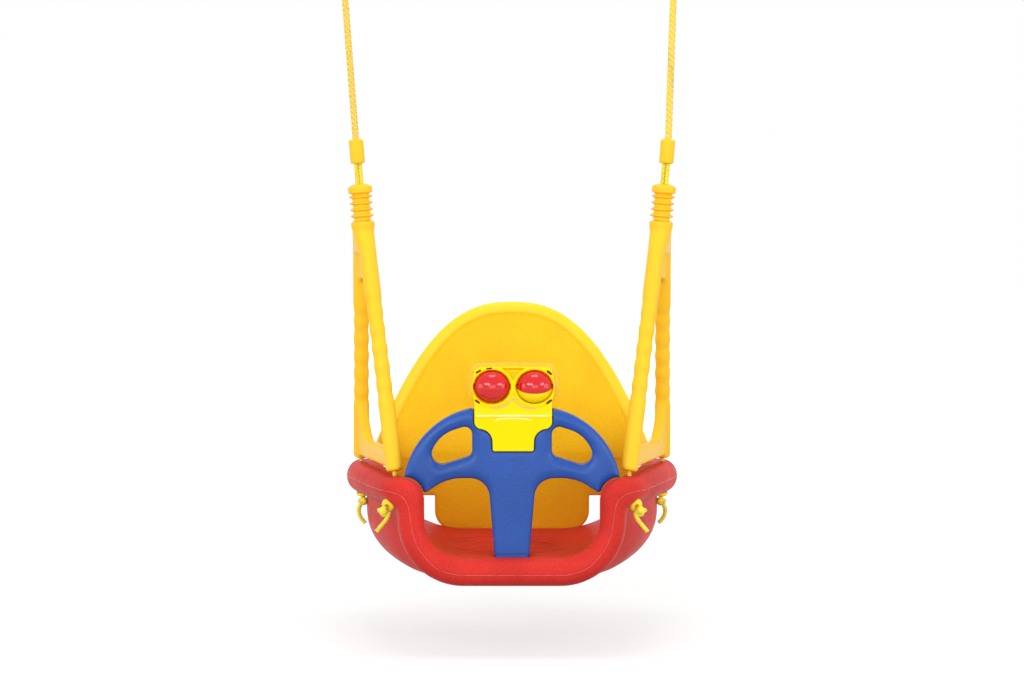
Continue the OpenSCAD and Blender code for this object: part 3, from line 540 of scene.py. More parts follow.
def knot_path(centre, way, size, start=0.25, end=6.05):
    """A tight overhand knot, its axis along way."""
    t = np.linspace(start, end, 90)
    q = columns(np.sin(t) + 2 * np.sin(2 * t), np.cos(t) - 2 * np.cos(2 * t), -1.25 * np.sin(3 * t)) * size
    w = unit(way)
    u = unit(np.cross(w, [1, 0.2, 0]))
    v = np.cross(w, u)
    return centre + q[:, :1] * u + q[:, 1:2] * v + q[:, 2:] * w


LOOK = 1.15   # ropes are drawn this much thicker, because wound strands look thinner than the rope they fill
BRAID_PITCH, LAY_PITCH, CORD_PITCH = 27, 21, 12.5
# Heights and radii of the core that fills a stopper knot
KNOT_CORE = ((-5, 2.0), (-4, 3.6), (-2, 4.9), (0, 5.3), (2, 4.9), (4, 3.6), (5, 2.0))


def whipped_end(path, d):
    """The melted tip of a cut rope."""
    p = np.asarray(path, float)
    tip = p[-1] + unit(p[-1] - p[-3]) * 0.3
    return sweep(np.array([p[-1] - unit(p[-1] - p[-3]) * 1.2, p[-1], tip]), [0.5 * d, 0.48 * d, 0.3 * d], 10)


def rope_piece(name, rope, material, replaces):
    verts, faces, uv = rope
    return make(name, verts, faces, material, slot="yellow_rope", uv=uv, replaces=replaces)


def upper_rope(side):
    """The rope above a sleeve, its eye round the ring and the eye's knot: braided on the left, laid on the right."""
    hand = 1 if side == "left" else -1

    def wound(points, d):
        return braided(points, d, BRAID_PITCH) if side == "left" else laid(points, d, LAY_PITCH, hand)

    drops = (180, 130, 80, EYE_LOW + 4)
    path = sided(spline([ROPE_START, ROPE_EXIT] + [rope_local(side, 0, -drop) for drop in drops], 2.0), side)
    turns = [-55 + 290 * k / 12 for k in range(13)]
    around = [(EYE_R * cosd(a), -EYE_TOP - EYE_R + EYE_R * sind(a)) for a in turns]
    around = [(1.5, -EYE_LOW + 4)] + around + [(-1.5, -EYE_LOW + 4)]
    eye_path = sided(spline([rope_local(side, x, z) for x, z in around], 1.5), side)
    centre = sided(rope_local(side, 0, -EYE_LOW - 2), side)
    way = sided(unit(rope_local(side, 0, 0) - rope_local(side, 0, -100)), side)
    lump = laid(knot_path(centre, way, 1.55), 6.6, 20, hand, step=1.4)
    eye = rope_piece(f"rope_eye_loop_{side}", wound(eye_path, ROPE_D), ROPE, f"rope_eye_{side}")
    tie = rope_piece(f"rope_eye_hitch_{side}", lump, ROPE, f"eye_knot_{side}")
    obj = rope_piece(f"hanging_rope_{side}", wound(path, LOOK * ROPE_D), ROPE, f"upper_rope_{side}")


def lower_rope(end, side):
    """A rope from the sleeve through the collar, one leg and the flange, with its stopper knot and free tail."""
    which, v, foot, e = END_NAME[end], WAY_OUT[end], leg_point(end, 0), elbow(end)
    route = [to_collar([-end * STRAND, 0 if w > HEAD_TOP else end, w])
             for w in (SLEEVE_LOW + 12, COLLAR_TOP + 12, COLLAR_TOP - 8, HEAD_TOP + 14, SPIGOT_LOW + 1)]
    route += [to_frame([0, end * p, w]) for p, w in ((5.5, 286), (10.5, 277), (16, 265))]
    route += [leg_point(end, w) for w in (240, 180, 120, 60, 12, 1)]
    route += [foot - [0, 0, 8], e + [0, 0, 5], e + 1.2 * v + [0, 0, 1.2], e + 6 * v, cap_seat(end) + v * (CAP_H + 1)]
    path = sided(resample(np.array(route), 2.0, closed=False), side)
    hand = end if side == "right" else -end   # the two ropes of a pair are laid opposite ways
    centre = cap_seat(end) + v * CAP_H + KNOT_WAY[end] * (KNOT_R - 0.5)
    lump_way = unit(0.6 * v + 0.4 * np.array([0.2, -1, 0.1]))
    lump_at = centre + (np.array([2.5, -2.5, -1.5]) if end < 0 else np.zeros(3))
    knot = sided(knot_path(lump_at, lump_way, 1.6), side)
    heights, radii = np.array(KNOT_CORE).T
    lump = joined([laid(knot, 6.1, 12, hand, step=1.1), sweep(knot.mean(0) + columns(0, 0, heights), radii, 14)])
    tail_path = sided(spline([centre + p for p in TAIL[end]], 1.0), side)
    tail = joined([laid(tail_path, LOOK * CORD_D, CORD_PITCH, hand, step=0.9), whipped_end(tail_path, LOOK * CORD_D)])
    rope = laid(path, LOOK * CORD_D, CORD_PITCH, hand, sides=7, step=1.2)
    knot_obj = rope_piece(f"stopper_knot_{which}_{side}", lump, CORD, f"knot_{which}_{side}")
    tail_obj = rope_piece(f"rope_tail_{which}_{side}", tail, CORD, f"tail_{which}_{side}")
    obj = rope_piece(f"seat_rope_{which}_{side}", rope, CORD, f"{which}_rope_{side}")


add_camera()
for side in SIDES:
    upper_rope(side)
    for end in (-1, 1):
        lower_rope(end, side)


# ---------- seat shell ----------

FLANGE_TOP = -4.0
FLOOR_Z = FLANGE_TOP - 98
SEAT_FRONT, SEAT_BACK = 125.0, 122.0
NOSE_R, BACK_NOSE_R, CORNER_R, BACK_CORNER_R = 19.0, 11.0, 40.0, 32.0
LIP_START, BACK_START = -SEAT_FRONT + NOSE_R, SEAT_BACK - BACK_NOSE_R
FLOOR_FLAT = 60.0
BAR_FRONT, BAR_T = LIP_START + 2, 26.0
BACK_T = 12.0
TONGUE_FRONT = SEAT_BACK - BACK_T
FIT = 0.3


def seat_t(y):
    return (y - LIP_START) / (BACK_START - LIP_START)


def lip(y):
    return 1 - smooth(LIP_START + 2, LIP_START + 15, y)


def wall_in(y):
    return mix(108, 171, ease(seat_t(y), 1.8))


def shoulder_r(y):
    return mix(24, 14, smooth(LIP_START, 0, y))


def quarter(cx, cz, a, b, start, end, steps):
    t = np.radians(np.linspace(start, end, steps + 1))
    return columns(cx + a * np.cos(t), cz + b * np.sin(t))


def seat_sections(y, steps):
    """Half of the shell's inside and outside at y, from the flange's tip to the middle of the floor."""
    wall_o = wall_in(y) + 22 + 10 * lip(y)
    back = (y + SEAT_FRONT - CORNER_R) / 207
    tip = mix(165, 222, ease(back, 1.5) if back > 0 else 1.5 * back)
    top = FLANGE_TOP - 4 * smooth(0, SEAT_BACK, y)
    t = mix(32, 43, seat_t(y))
    w, r = wall_in(y), shoulder_r(y)
    a = min(18, tip - w - r - 2)
    h = mix(46, 87, ease(seat_t(y), 1.8))
    c = mix(80, 60, smooth(LIP_START, -40, y))
    bottom = FLOOR_Z - (32 + 10 / 3 * lip(y))
    flat_in = columns(np.linspace(FLOOR_FLAT, 0, 3 * steps + 1)[1:], FLOOR_Z)
    flat_out = columns(np.linspace(wall_o - c, 0, 3 * steps + 1)[1:], bottom)
    land_in = np.linspace(tip - a, w + r, 5)[1:-1]
    land_out = np.linspace(wall_o + 8, wall_o + 6, 5)[1:-1]
    inside = np.vstack([quarter(tip - a, top - t / 2, a, t / 2, 0, 90, 2 * steps),
                        columns(land_in, top),
                        quarter(w + r, top - r, r, r, 90, 180, 2 * steps),
                        quarter(FLOOR_FLAT, FLOOR_Z + h, w - FLOOR_FLAT, h, 0, -90, 3 * steps), flat_in])
    ao = max(tip - wall_o - 8, 3)
    outside = np.vstack([quarter(tip - ao, top - t / 2, ao, t / 2, 0, -90, 2 * steps),
                         columns(land_out, top - t),
                         quarter(wall_o + 6, top - t - 6, 6, 6, 90, 180, 2 * steps),
                         quarter(wall_o - c, bottom + c, c, c, 0, -90, 3 * steps), flat_out])
    return inside, outside


def fullness(y):
    if y < LIP_START:
        return math.sqrt(max(0, 1 - ((LIP_START - y) / NOSE_R) ** 2))
    if y > BACK_START:
        return math.sqrt(max(0, 1 - ((y - BACK_START) / BACK_NOSE_R) ** 2))
    return 1.0


def reach(y):
    front_c, back_c = -SEAT_FRONT + CORNER_R, SEAT_BACK - BACK_CORNER_R
    if y < front_c:
        full = (CORNER_R - 2 + 2 * fullness(y)) / CORNER_R
        return full * math.sqrt(max(0.0025, 1 - ((front_c - y) / CORNER_R) ** 2))
    if y > back_c:
        return mix(1, 0.4, 1 - math.sqrt(max(0, 1 - ((y - back_c) / BACK_CORNER_R) ** 2)))
    return 1.0


def seat_half(y, steps):
    """The two lines of half a ring: its top and its underside."""
    a, b = seat_sections(y, steps)
    s, c = fullness(y), reach(y)
    wall_mid = wall_in(y) + (22 + 10 * lip(y)) / 2
    middle = (a + b) / 2
    out = middle[:, 0] > wall_mid
    moved = middle.copy()
    moved[out, 0] = wall_mid + (middle[out, 0] - wall_mid) * c
    return moved + (a - middle) * s, moved + (b - middle) * s


def cutter(verts, faces):
    return faced_out(make("cutter", verts, faces, body=None))


def rod(start, way, length, r, sides=48):
    w = unit(way)
    return sweep(np.array([start, start + w * length / 2, start + w * length]), r, sides)[:2]


def block(lo, hi):
    v = [[(lo, hi)[i][0], (lo, hi)[j][1], (lo, hi)[k][2]] for i in (0, 1) for j in (0, 1) for k in (0, 1)]
    f = [(0, 1, 3, 2), (4, 6, 7, 5), (0, 4, 5, 1), (2, 3, 7, 6), (0, 2, 6, 4), (1, 5, 7, 3)]
    return np.array(v, float), f


def apply_modifiers(obj):
    bpy.context.view_layer.update()
    mesh = bpy.data.meshes.new_from_object(obj.evaluated_get(bpy.context.evaluated_depsgraph_get()))
    obj.modifiers.clear()
    obj.data = mesh
    return obj


def remeshed(obj, size):
    """(verts in mm, quads) of the object rebuilt from even cells."""
    remesh = obj.modifiers.new("remesh", "REMESH")
    remesh.mode = "VOXEL"
    remesh.voxel_size = size * MM
    remesh.adaptivity = 0
    apply_modifiers(obj)
    n = len(obj.data.vertices)
    co = np.empty(n * 3, np.float32)
    obj.data.vertices.foreach_get("co", co)
    quads = np.array([tuple(f.vertices) for f in obj.data.polygons])
    bpy.data.objects.remove(obj)
    return co.reshape(-1, 3).astype(float) / MM + [0, 0, HANG], quads


def relax(co, quads, rounds, weight=None, hollows_only=False):
    """Smooth a closed mesh. With hollows_only, it only fills its creases."""
    edges = np.vstack([quads[:, [i, (i + 1) % 4]] for i in range(4)])
    n = len(co)
    weight = np.ones(n) if weight is None else weight
    live = np.flatnonzero(weight > 0)
    number = np.full(n, -1)
    number[live] = np.arange(len(live))
    edges = edges[number[edges[:, 0]] >= 0]
    first, other = number[edges[:, 0]], edges[:, 1]
    degree = np.bincount(first, minlength=len(live))
    pace = (0.6 * weight[live] / degree)[:, None]
    co = co.copy()
    for i in range(rounds):
        if hollows_only and i % 10 == 0:
            across = np.cross(co[quads[:, 2]] - co[quads[:, 0]], co[quads[:, 3]] - co[quads[:, 1]])
            normal = columns(*[sum(np.bincount(quads[:, j], across[:, k], n) for j in range(4)) for k in range(3)])
            normal = normal[live]
            normal /= np.maximum(np.linalg.norm(normal, axis=1), 1e-12)[:, None]
        total = columns(*[np.bincount(first, co[other, k], len(live)) for k in range(3)])
        move = (total - co[live] * degree[:, None]) * pace
        if hollows_only:
            move = normal * np.clip((move * normal).sum(1), 0, None)[:, None]
        co[live] += move
    return co


def stem_prism(grow, low, high):
    """The foot of the bar's stem, grown by grow on all sides, between two heights."""
    x, y = 21.5 + grow, BAR_T / 2 + grow
    flat = rounded_box(x, y, 4) + [0, BAR_FRONT + BAR_T / 2]
    n = len(flat)
    return np.vstack([columns(*flat.T, z) for z in (low, high)]), grid_faces(2, n) + lids(n, 2 * n)


def seat_shell():
    steps = 7
    ys = np.concatenate([LIP_START - NOSE_R * np.cos(np.radians(np.linspace(3, 90, 15)[:-1])),
                         np.linspace(LIP_START, LIP_START + 16, 13)[:-1],
                         np.linspace(LIP_START + 16, BACK_START, 75)[:-1],
                         BACK_START + BACK_NOSE_R * np.sin(np.radians(np.linspace(0, 86, 12)))])
    rings = []
    for y in ys:
        top, under = seat_half(y, steps)
        n = len(top) - 1
        ring = np.vstack([top * [-1, 1], top[n - 1::-1], under[1:], (under * [-1, 1])[n - 1:0:-1]])
        rings.append(columns(ring[:, 0], y, ring[:, 1]))
    m = len(rings[0])
    faces = grid_faces(len(ys), m)
    for base, last in ((0, False), ((len(ys) - 1) * m, True)):
        for k in range(m // 2):
            quad = (base + k, base + k + 1, base + (m - k - 1) % m, base + (m - k) % m)
            faces.append(quad if last else quad[::-1])
    base = faced_out(make("seat_base", np.vstack(rings), faces, body=None), weld=0.00002)
    co, quads = remeshed(base, 2.0)
    co = relax(co, quads, 4)
    x, y, z = np.abs(co[:, 0]), co[:, 1], co[:, 2]
    corner = (1 - smooth(-75, -25, y)) * smooth(90, 104, x) * mix(0.25, 1, smooth(-95, -60, z))
    co = relax(co, quads, 220, corner, hollows_only=True)
    obj = make("seat", co, quads, RED, slot="red_shell", replaces="seat_shell")
    cut = []
    for side in SIDES:
        for end in (-1, 1):
            low = leg_point(end, 0) - [0, 0, ELBOW[end]]
            cut.append(cutter(*rod(sided(low, side), [0, 0, 1], ELBOW[end] + 20, CORD_D / 2 + 0.3, 24)))
            seat_at, w = cap_place(end)
            cut.append(cutter(*rod(sided(seat_at, side), sided(w, side), 40, CAP_R + 0.8)))
    cut.append(cutter(*stem_prism(0.4, FLOOR_Z - 16, FLOOR_Z + 40)))
    cut.append(cutter(*block((-103.3, TONGUE_FRONT - FIT, FLOOR_Z - 3), (103.3, 160, FLOOR_Z + 60))))
    for c in cut:
        mod = obj.modifiers.new("cut", "BOOLEAN")
        mod.object = c
        mod.operation = "DIFFERENCE"
        mod.solver = "MANIFOLD"
    apply_modifiers(obj)
    for c in cut:
        bpy.data.objects.remove(c)
    smooth_by_angle(obj, 40)


def seat_lines():
    """The mould's parting line along the lip and the flanges, drawn in a lighter red that paints its highlight, and the
    lines pressed into the floor.
    """
    y0 = -SEAT_FRONT + 0.03
    front = [[x, y0, z] for x, z in seat_half(y0, 7)[1][::-1]]
    tips = []
    for y in np.linspace(y0 + 0.3, BACK_START + 2, 60):
        top = seat_half(y, 7)[0]
        tips.append([top[0][0], y, top[0][1]])
    half = resample(np.array(front + tips), 3.0, closed=False)
    for _ in range(60):
        pull = (half[:-2] + half[2:]) / 2 - half[1:-1]
        corner = smooth(95, 105, half[1:-1, 0])[:, None] * (1 - smooth(-70, -40, half[1:-1, 1]))[:, None]
        half[1:-1] += 0.6 * pull * corner
    path = spline(np.vstack([(half * [-1, 1, 1])[::-1], half[1:]]), 2.5)
    seat_obj = bpy.data.objects["seat"]
    for i, q in enumerate(path):
        _, near, normal, _ = seat_obj.closest_point_on_mesh(Vector((q - [0, 0, HANG]) * MM))
        path[i] = np.array(near) / MM + [0, 0, HANG] + np.array(normal) * 0.15
    wobble = 1 + 0.45 * np.sin(np.arange(len(path)) * 0.9) * np.sin(np.arange(len(path)) * 0.23)
    v, f, uv = sweep(path, 0.36 * wobble, 6)
    make("seat_parting_line", v, f, FLASH_HIGHLIGHT, slot="red_shell", uv=uv)
    parts = []
    for x, y_a, y_b, r in ((76, -62, 44, 46), (52, -70, 6, 26)):
        loop = resample(rounded(both_halves([(x, y_a, r), (x, y_b, r)]), 10), 3)
        p = columns(*loop.T, FLOOR_Z + 0.05)
        parts.append(sweep(np.vstack([p, p[:1]]), 0.5, 6, caps=False))
    v, f, uv = joined(parts)
    make("seat_floor_lines", v, f, RED, slot="red_shell", uv=uv)


# ---------- plates with rounded edges ----------

def edge_distance(points, loops):
    """How far each point is from the nearest outline."""
    best = np.full(len(points), 1e9)
    for a in loops:
        ab = np.roll(a, -1, axis=0) - a
        square = np.maximum((ab ** 2).sum(1), 1e-12)
        for i in range(0, len(points), 800):
            p = points[i:i + 800]
            t = np.clip(((p[:, None] - a[None]) * ab[None]).sum(2) / square, 0, 1)
            d = np.linalg.norm(p[:, None] - (a + t[..., None] * ab), axis=2).min(1)
            best[i:i + 800] = np.minimum(best[i:i + 800], d)
    return best


def inside(points, loop):
    x, y = points[:, 0], points[:, 1]
    out = np.zeros(len(points), bool)
    for (x1, y1), (x2, y2) in zip(loop, np.roll(loop, -1, axis=0)):
        hit = (y1 > y) != (y2 > y)
        with np.errstate(divide="ignore", invalid="ignore"):
            at = (x2 - x1) * (y - y1) / (y2 - y1) + x1
        out ^= hit & (x < at)
    return out


def offset_loop(loop, d):
    """The loop moved by d: outwards where d is positive, for a loop that runs anticlockwise."""
    t = np.roll(loop, -1, axis=0) - np.roll(loop, 1, axis=0)
    t /= np.maximum(np.linalg.norm(t, axis=1), 1e-9)[:, None]
    return loop + d * columns(t[:, 1], -t[:, 0])


def anticlockwise(loop):
    x, y = loop[:, 0], loop[:, 1]
    area = (x * np.roll(y, -1) - np.roll(x, -1) * y).sum()
    return loop if area > 0 else loop[::-1]


def round_edge(d, r):
    e = np.clip(r - d, 0, r)
    return r - np.sqrt(r * r - e * e)


def plate(outer, holes, front, back, rings, spacing, step=1.6, features=()):
    """A plate in the XZ plane: (verts, faces). front and back give y at points (x, z) and their distance d to the
    edge. rings are the distances at which its edge gets a row of points, and features are lines kept as edges."""
    loops = [anticlockwise(resample(loop, step)) for loop in (outer, *holes)]

    def within(p):
        ok = inside(p, loops[0])
        for hole in loops[1:]:
            ok &= ~inside(p, hole)
        return ok

    points, edges, n = [], [], 0
    for line in (*loops, *features):
        points.append(line)
        edges += [(n + i, n + (i + 1) % len(line)) for i in range(len(line))]
        n += len(line)
    for d in rings:
        for k, loop in enumerate(loops):
            ring = offset_loop(loop, -d if k == 0 else d)
            ring = ring[edge_distance(ring, loops) > d - 0.04]
            points.append(ring[edge_distance(ring, features) > 0.6])
    lo, hi = loops[0].min(0), loops[0].max(0)
    g = np.stack(np.meshgrid(*[np.arange(a + spacing / 2, b, spacing) for a, b in zip(lo, hi)]), 2)
    g[1::2, :, 0] += spacing / 2
    g = g.reshape(-1, 2)
    g = g[within(g)]
    g = g[edge_distance(g, loops) > max(rings, default=0) + spacing * 0.4]
    points.append(g[edge_distance(g, features) > spacing * 0.45])
    flat, _, tris, *_ = delaunay_2d_cdt([Vector(p) for p in np.vstack(points)], edges, [], 0, 1e-5)
    flat, tris = np.array([tuple(v) for v in flat]), np.array(list(tris))
    tris = tris[within(flat[tris].mean(1))].tolist()
    x, z = flat.T
    d = edge_distance(flat, loops)
    n = len(flat)
    faces = [tuple(t) for t in tris] + [tuple(i + n for i in reversed(t)) for t in tris]
    sides = dict.fromkeys((t[i], t[(i + 1) % 3]) for t in tris for i in range(3))
    faces += [(j, i, i + n, j + n) for i, j in sides if (j, i) not in sides]
    return np.vstack([columns(x, front(x, z, d), z), columns(x, back(x, z, d), z)]), faces


def middles(verts, faces):
    return np.array([verts[list(face)].mean(0) for face in faces])


def mirror_half(half):
    """A closed outline from its right half, which starts and ends on x = 0."""
    h = np.asarray(half, float)
    return np.vstack([h, (h * [-1, 1])[::-1][1:-1]])


def quarter_rings(r, n=7):
    return [r * (1 - math.cos(t)) for t in np.linspace(0, math.pi / 2, n)]


# ---------- backrest ----------

DOME_HALF, BACK_TOP, DOME_POWER, BACK_LEAN = 187.0, 202.5, 2.46, 8.7
DOME_FOOT = FLANGE_TOP - 4 + FIT
RIM_WIDE, RIM_DEEP, RIM_END = 11.5, 6.5, 14.5
RIB_X, LEAN_ONSET = 62, 24
TONGUE_HALF, TONGUE_TOP, INSERT_HALF = 103, -58, 168


def backrest():
    x = DOME_HALF * (1 - np.linspace(0, 1, 140) ** 0.9)
    curve = columns(x, BACK_TOP * (1 - (x / DOME_HALF) ** DOME_POWER))
    outer = mirror_half(np.vstack([[[0, DOME_FOOT], [DOME_HALF, DOME_FOOT]], curve]))
    edge = np.vstack([[[DOME_HALF, -160]], curve, (curve * [-1, 1])[::-1], [[-DOME_HALF, -160]]])
    edge = [np.vstack([resample(edge, 1.6, closed=False), [[-DOME_HALF, -900], [DOME_HALF, -900]]])]

    def front(px, pz, d):
        e = edge_distance(columns(px, pz), edge)
        rim = RIM_DEEP * (1 - np.sqrt(1 - (np.clip(RIM_WIDE - e, 0, RIM_WIDE) / RIM_WIDE) ** 2))
        return rim + (1.5 * smooth(RIM_WIDE, 18, e) + 1.0 * smooth(18, 40, e)) * smooth(-5, 55, pz)

    def back(px, pz, d):
        e = edge_distance(columns(px, pz), edge)
        rib = smooth(3, 4.5, np.abs(np.abs(px) - RIB_X)) * smooth(4, 8, pz)
        return BACK_T - round_edge(e, 3) - 5.2 * smooth(15.5, 18, e) * rib

    ribs = [anticlockwise(resample(rounded([(x + g, 6, 1), (x + g, 170, 1), (x - g, 170, 1), (x - g, 6, 1)], 2), 3))
            for x in (-RIB_X, RIB_X) for g in (3, 4.5)]
    rings = [0.3, 1, 2, 3.2, 4.6, 6.2, 8, 10, 12, 13.5, 15.5, 17, 18.5, 20, 22]
    v, f = plate(outer, [], front, back, rings, 4.5, features=ribs)
    flat = v[:, [0, 2]].copy()
    c, s = cosd(BACK_LEAN), sind(BACK_LEAN)
    y, z = v[:, 1].copy(), v[:, 2] - DOME_FOOT
    z_soft = z - LEAN_ONSET * (1 - np.exp(-z / LEAN_ONSET))   # the lean sets in gradually above the seat
    v[:, 1], v[:, 2] = TONGUE_FRONT + y * c + z_soft * s, DOME_FOOT - y * s + z * c
    insert = both_halves([(INSERT_HALF, 2, 0), (INSERT_HALF, TONGUE_TOP, 40), (TONGUE_HALF, TONGUE_TOP, 0),
                          (TONGUE_HALF, FLOOR_Z - 2.7, 26)])

    def insert_front(px, pz, d):
        return TONGUE_FRONT + round_edge(d, 3.5) * (pz < -6) + 1.5 * smooth(128, 136, np.abs(px))

    def insert_back(px, pz, d):
        return TONGUE_FRONT + BACK_T - FIT - round_edge(d, 2)

    lower = plate(rounded(insert, 10), [], insert_front, insert_back, quarter_rings(3.5)[1:], 5)
    # The rim's faces take the lighter rim colour: a painted highlight on its crest.
    rim = edge_distance(middles(flat, f), edge) < RIM_END
    obj = make("backrest_panel", *merged((v, f), lower), PANEL, slot="orange_panel", replaces="backrest", sharp=40)
    repaint(obj, RIM_HIGHLIGHT, rim)


# ---------- restraint bar and its console ----------

CONSOLE_X, BALL_Z, BALL_R, BALL_LONG, BALL_HALF = 1.5, 109.0, 20.3, 1.1, 26.2
CONSOLE_FRONT, CONSOLE_MIDDLE, CONSOLE_BACK = BAR_FRONT - 1, BAR_FRONT + 9, BAR_FRONT + 19
HUB_TOP, PANEL_DEPTH = 81.0, 8.0
PANEL_CORNERS = [(47.7, 58.5, 9), (26, 55, 16), (25.1, 29.7, 2)]


def bar_arc(x, z, r, a, b, n):
    t = np.radians(np.linspace(a, b, n))
    return columns(x + r * np.cos(t), z + r * np.sin(t))


def bar_outline():
    sx = wall_in(BAR_FRONT) + shoulder_r(BAR_FRONT)
    sz, rest, foot = FLANGE_TOP - shoulder_r(BAR_FRONT), 0.6, FLOOR_Z + 0.2
    arm_x, arm_z, arm_r = 29, -22.4, 106.3
    low = rounded([(sx - 27, sz + 6, 0), (79, -4.6, 60), (29.5, -4.6, 24), (21.5, foot, 0), (0, foot, 0)], 10)
    return mirror_half(np.vstack([
        [[0, HUB_TOP], [50.5, HUB_TOP]],
        bar_arc(arm_x, arm_z, arm_r, math.degrees(math.acos((50.5 - arm_x) / arm_r)),
                math.degrees(math.asin((FLANGE_TOP + rest - arm_z) / arm_r)), 40),
        bar_arc(sx, sz, shoulder_r(BAR_FRONT) + rest, 90, 163, 20), low]))


def restraint_bar():
    window = rounded([(49.2, 23.5, 9), (109, 4.5, 13), (90, 49.5, 43), (49.2, 62.4, 9)], 10)
    pocket = both_halves([(47.7, HUB_TOP + 6, 0)] + PANEL_CORNERS)
    pocket = offset_loop(anticlockwise(resample(rounded(pocket, 10), 1.2)), 1.0) + [CONSOLE_X, 0]
    lines = [offset_loop(pocket, g) for g in (0, 0.08, 0.5, 1.2, 2.2)]

    def rounding(pz, d):
        r = mix(5.0, 12.0, smooth(-35, 0, pz))
        e = np.clip(r - d, 0, r) / r
        return mix(3.5, 7.5, smooth(-35, 0, pz)) * (1 - np.sqrt(1 - e * e))

    def front(px, pz, d):
        at = columns(px, pz)
        g = np.where(inside(at, pocket), 0, edge_distance(at, [pocket]))
        return BAR_FRONT + np.where(g < 0.04, PANEL_DEPTH, np.maximum(rounding(pz, d), round_edge(g, 2.2)))

    def back(px, pz, d):
        return BAR_FRONT + BAR_T - rounding(pz, d)

    bar = plate(bar_outline(), [window, window * [-1, 1]], front, back, quarter_rings(12, 12)[1:], 5, features=lines)
    make("t_bar", *merged(bar, stem_prism(-0.3, FLOOR_Z - 15.7, FLOOR_Z + 6)), BLUE, body="restraint",
         slot="blue_bar", replaces="restraint_bar", sharp=40)


# The face's slots: middle, length, width and tilt
SLOTS = ((-42.8, 127.6, 7.4, 2.3, 28), (-29.5, 131.4, 7.6, 1.9, 6), (44.4, 126.3, 7.6, 2.8, -38),
         (-43.9, 91.0, 7.0, 2.8, -35), (43.9, 90.7, 8.4, 3.0, 36))
SOCKET_R, BEND_Z, FACE_RISE = 20.9, 73.5, 0.085
SHELL_CORNERS = [(48.2, HUB_TOP + FIT, 0), (48.2, 88, 10), (59.5, BALL_Z, 30), (50.2, 136.8, 11)]
BEND_LINE = [(-46.2, BEND_Z), (-20, BEND_Z + 0.15), (20, BEND_Z + 0.15), (46.2, BEND_Z)]
ARCH_LINE = [(-23.5, 66.4), (-20.5, 68.4), (-14, 69.8), (-6, 70.4), (0, 70.5), (6, 70.4), (14, 69.8), (20.5, 68.4),
             (23, 66.8)]
UNDER_SOCKET = [(-31.2, 85.0), (-24, 83.6), (-16.5, 84.2), (-8.6, 87.6), (-2.6, 93.0), (0.0, 95.3)]


def face_y(z):
    """Where the console's face is: upright below its bend, and leaning back above it."""
    return CONSOLE_FRONT + FACE_RISE * np.clip(z - BEND_Z, 0, 100)


def slot_hole(cx, cz, length, wide, tilt):
    p = rounded_box(length / 2, wide / 2, wide * 0.45, 4)
    c, s = cosd(tilt), sind(tilt)
    return columns(cx + p[:, 0] * c - p[:, 1] * s, cz + p[:, 0] * s + p[:, 1] * c)


def console_piece(name, verts, faces, material, slot, **more):
    return make(name, verts + [CONSOLE_X, 0, 0], faces, material, body="restraint", slot=slot, **more)


def bead(name, points, radius, lift, material=PAINTED_HIGHLIGHT, slot="lemon_housing", thin=0.3, taper=4):
    """A thin line along the face, lift in front of it. It starts thin times its radius, and grows over taper points."""
    path = spline([[x, face_y(z) - lift, z] for x, z in points], 1.2)
    count = np.arange(len(path))
    v, f, uv = sweep(path, radius * np.minimum(1, thin + np.minimum(count, count[::-1]) / taper), 8)
    console_piece(name, v, f, material, slot, uv=uv)


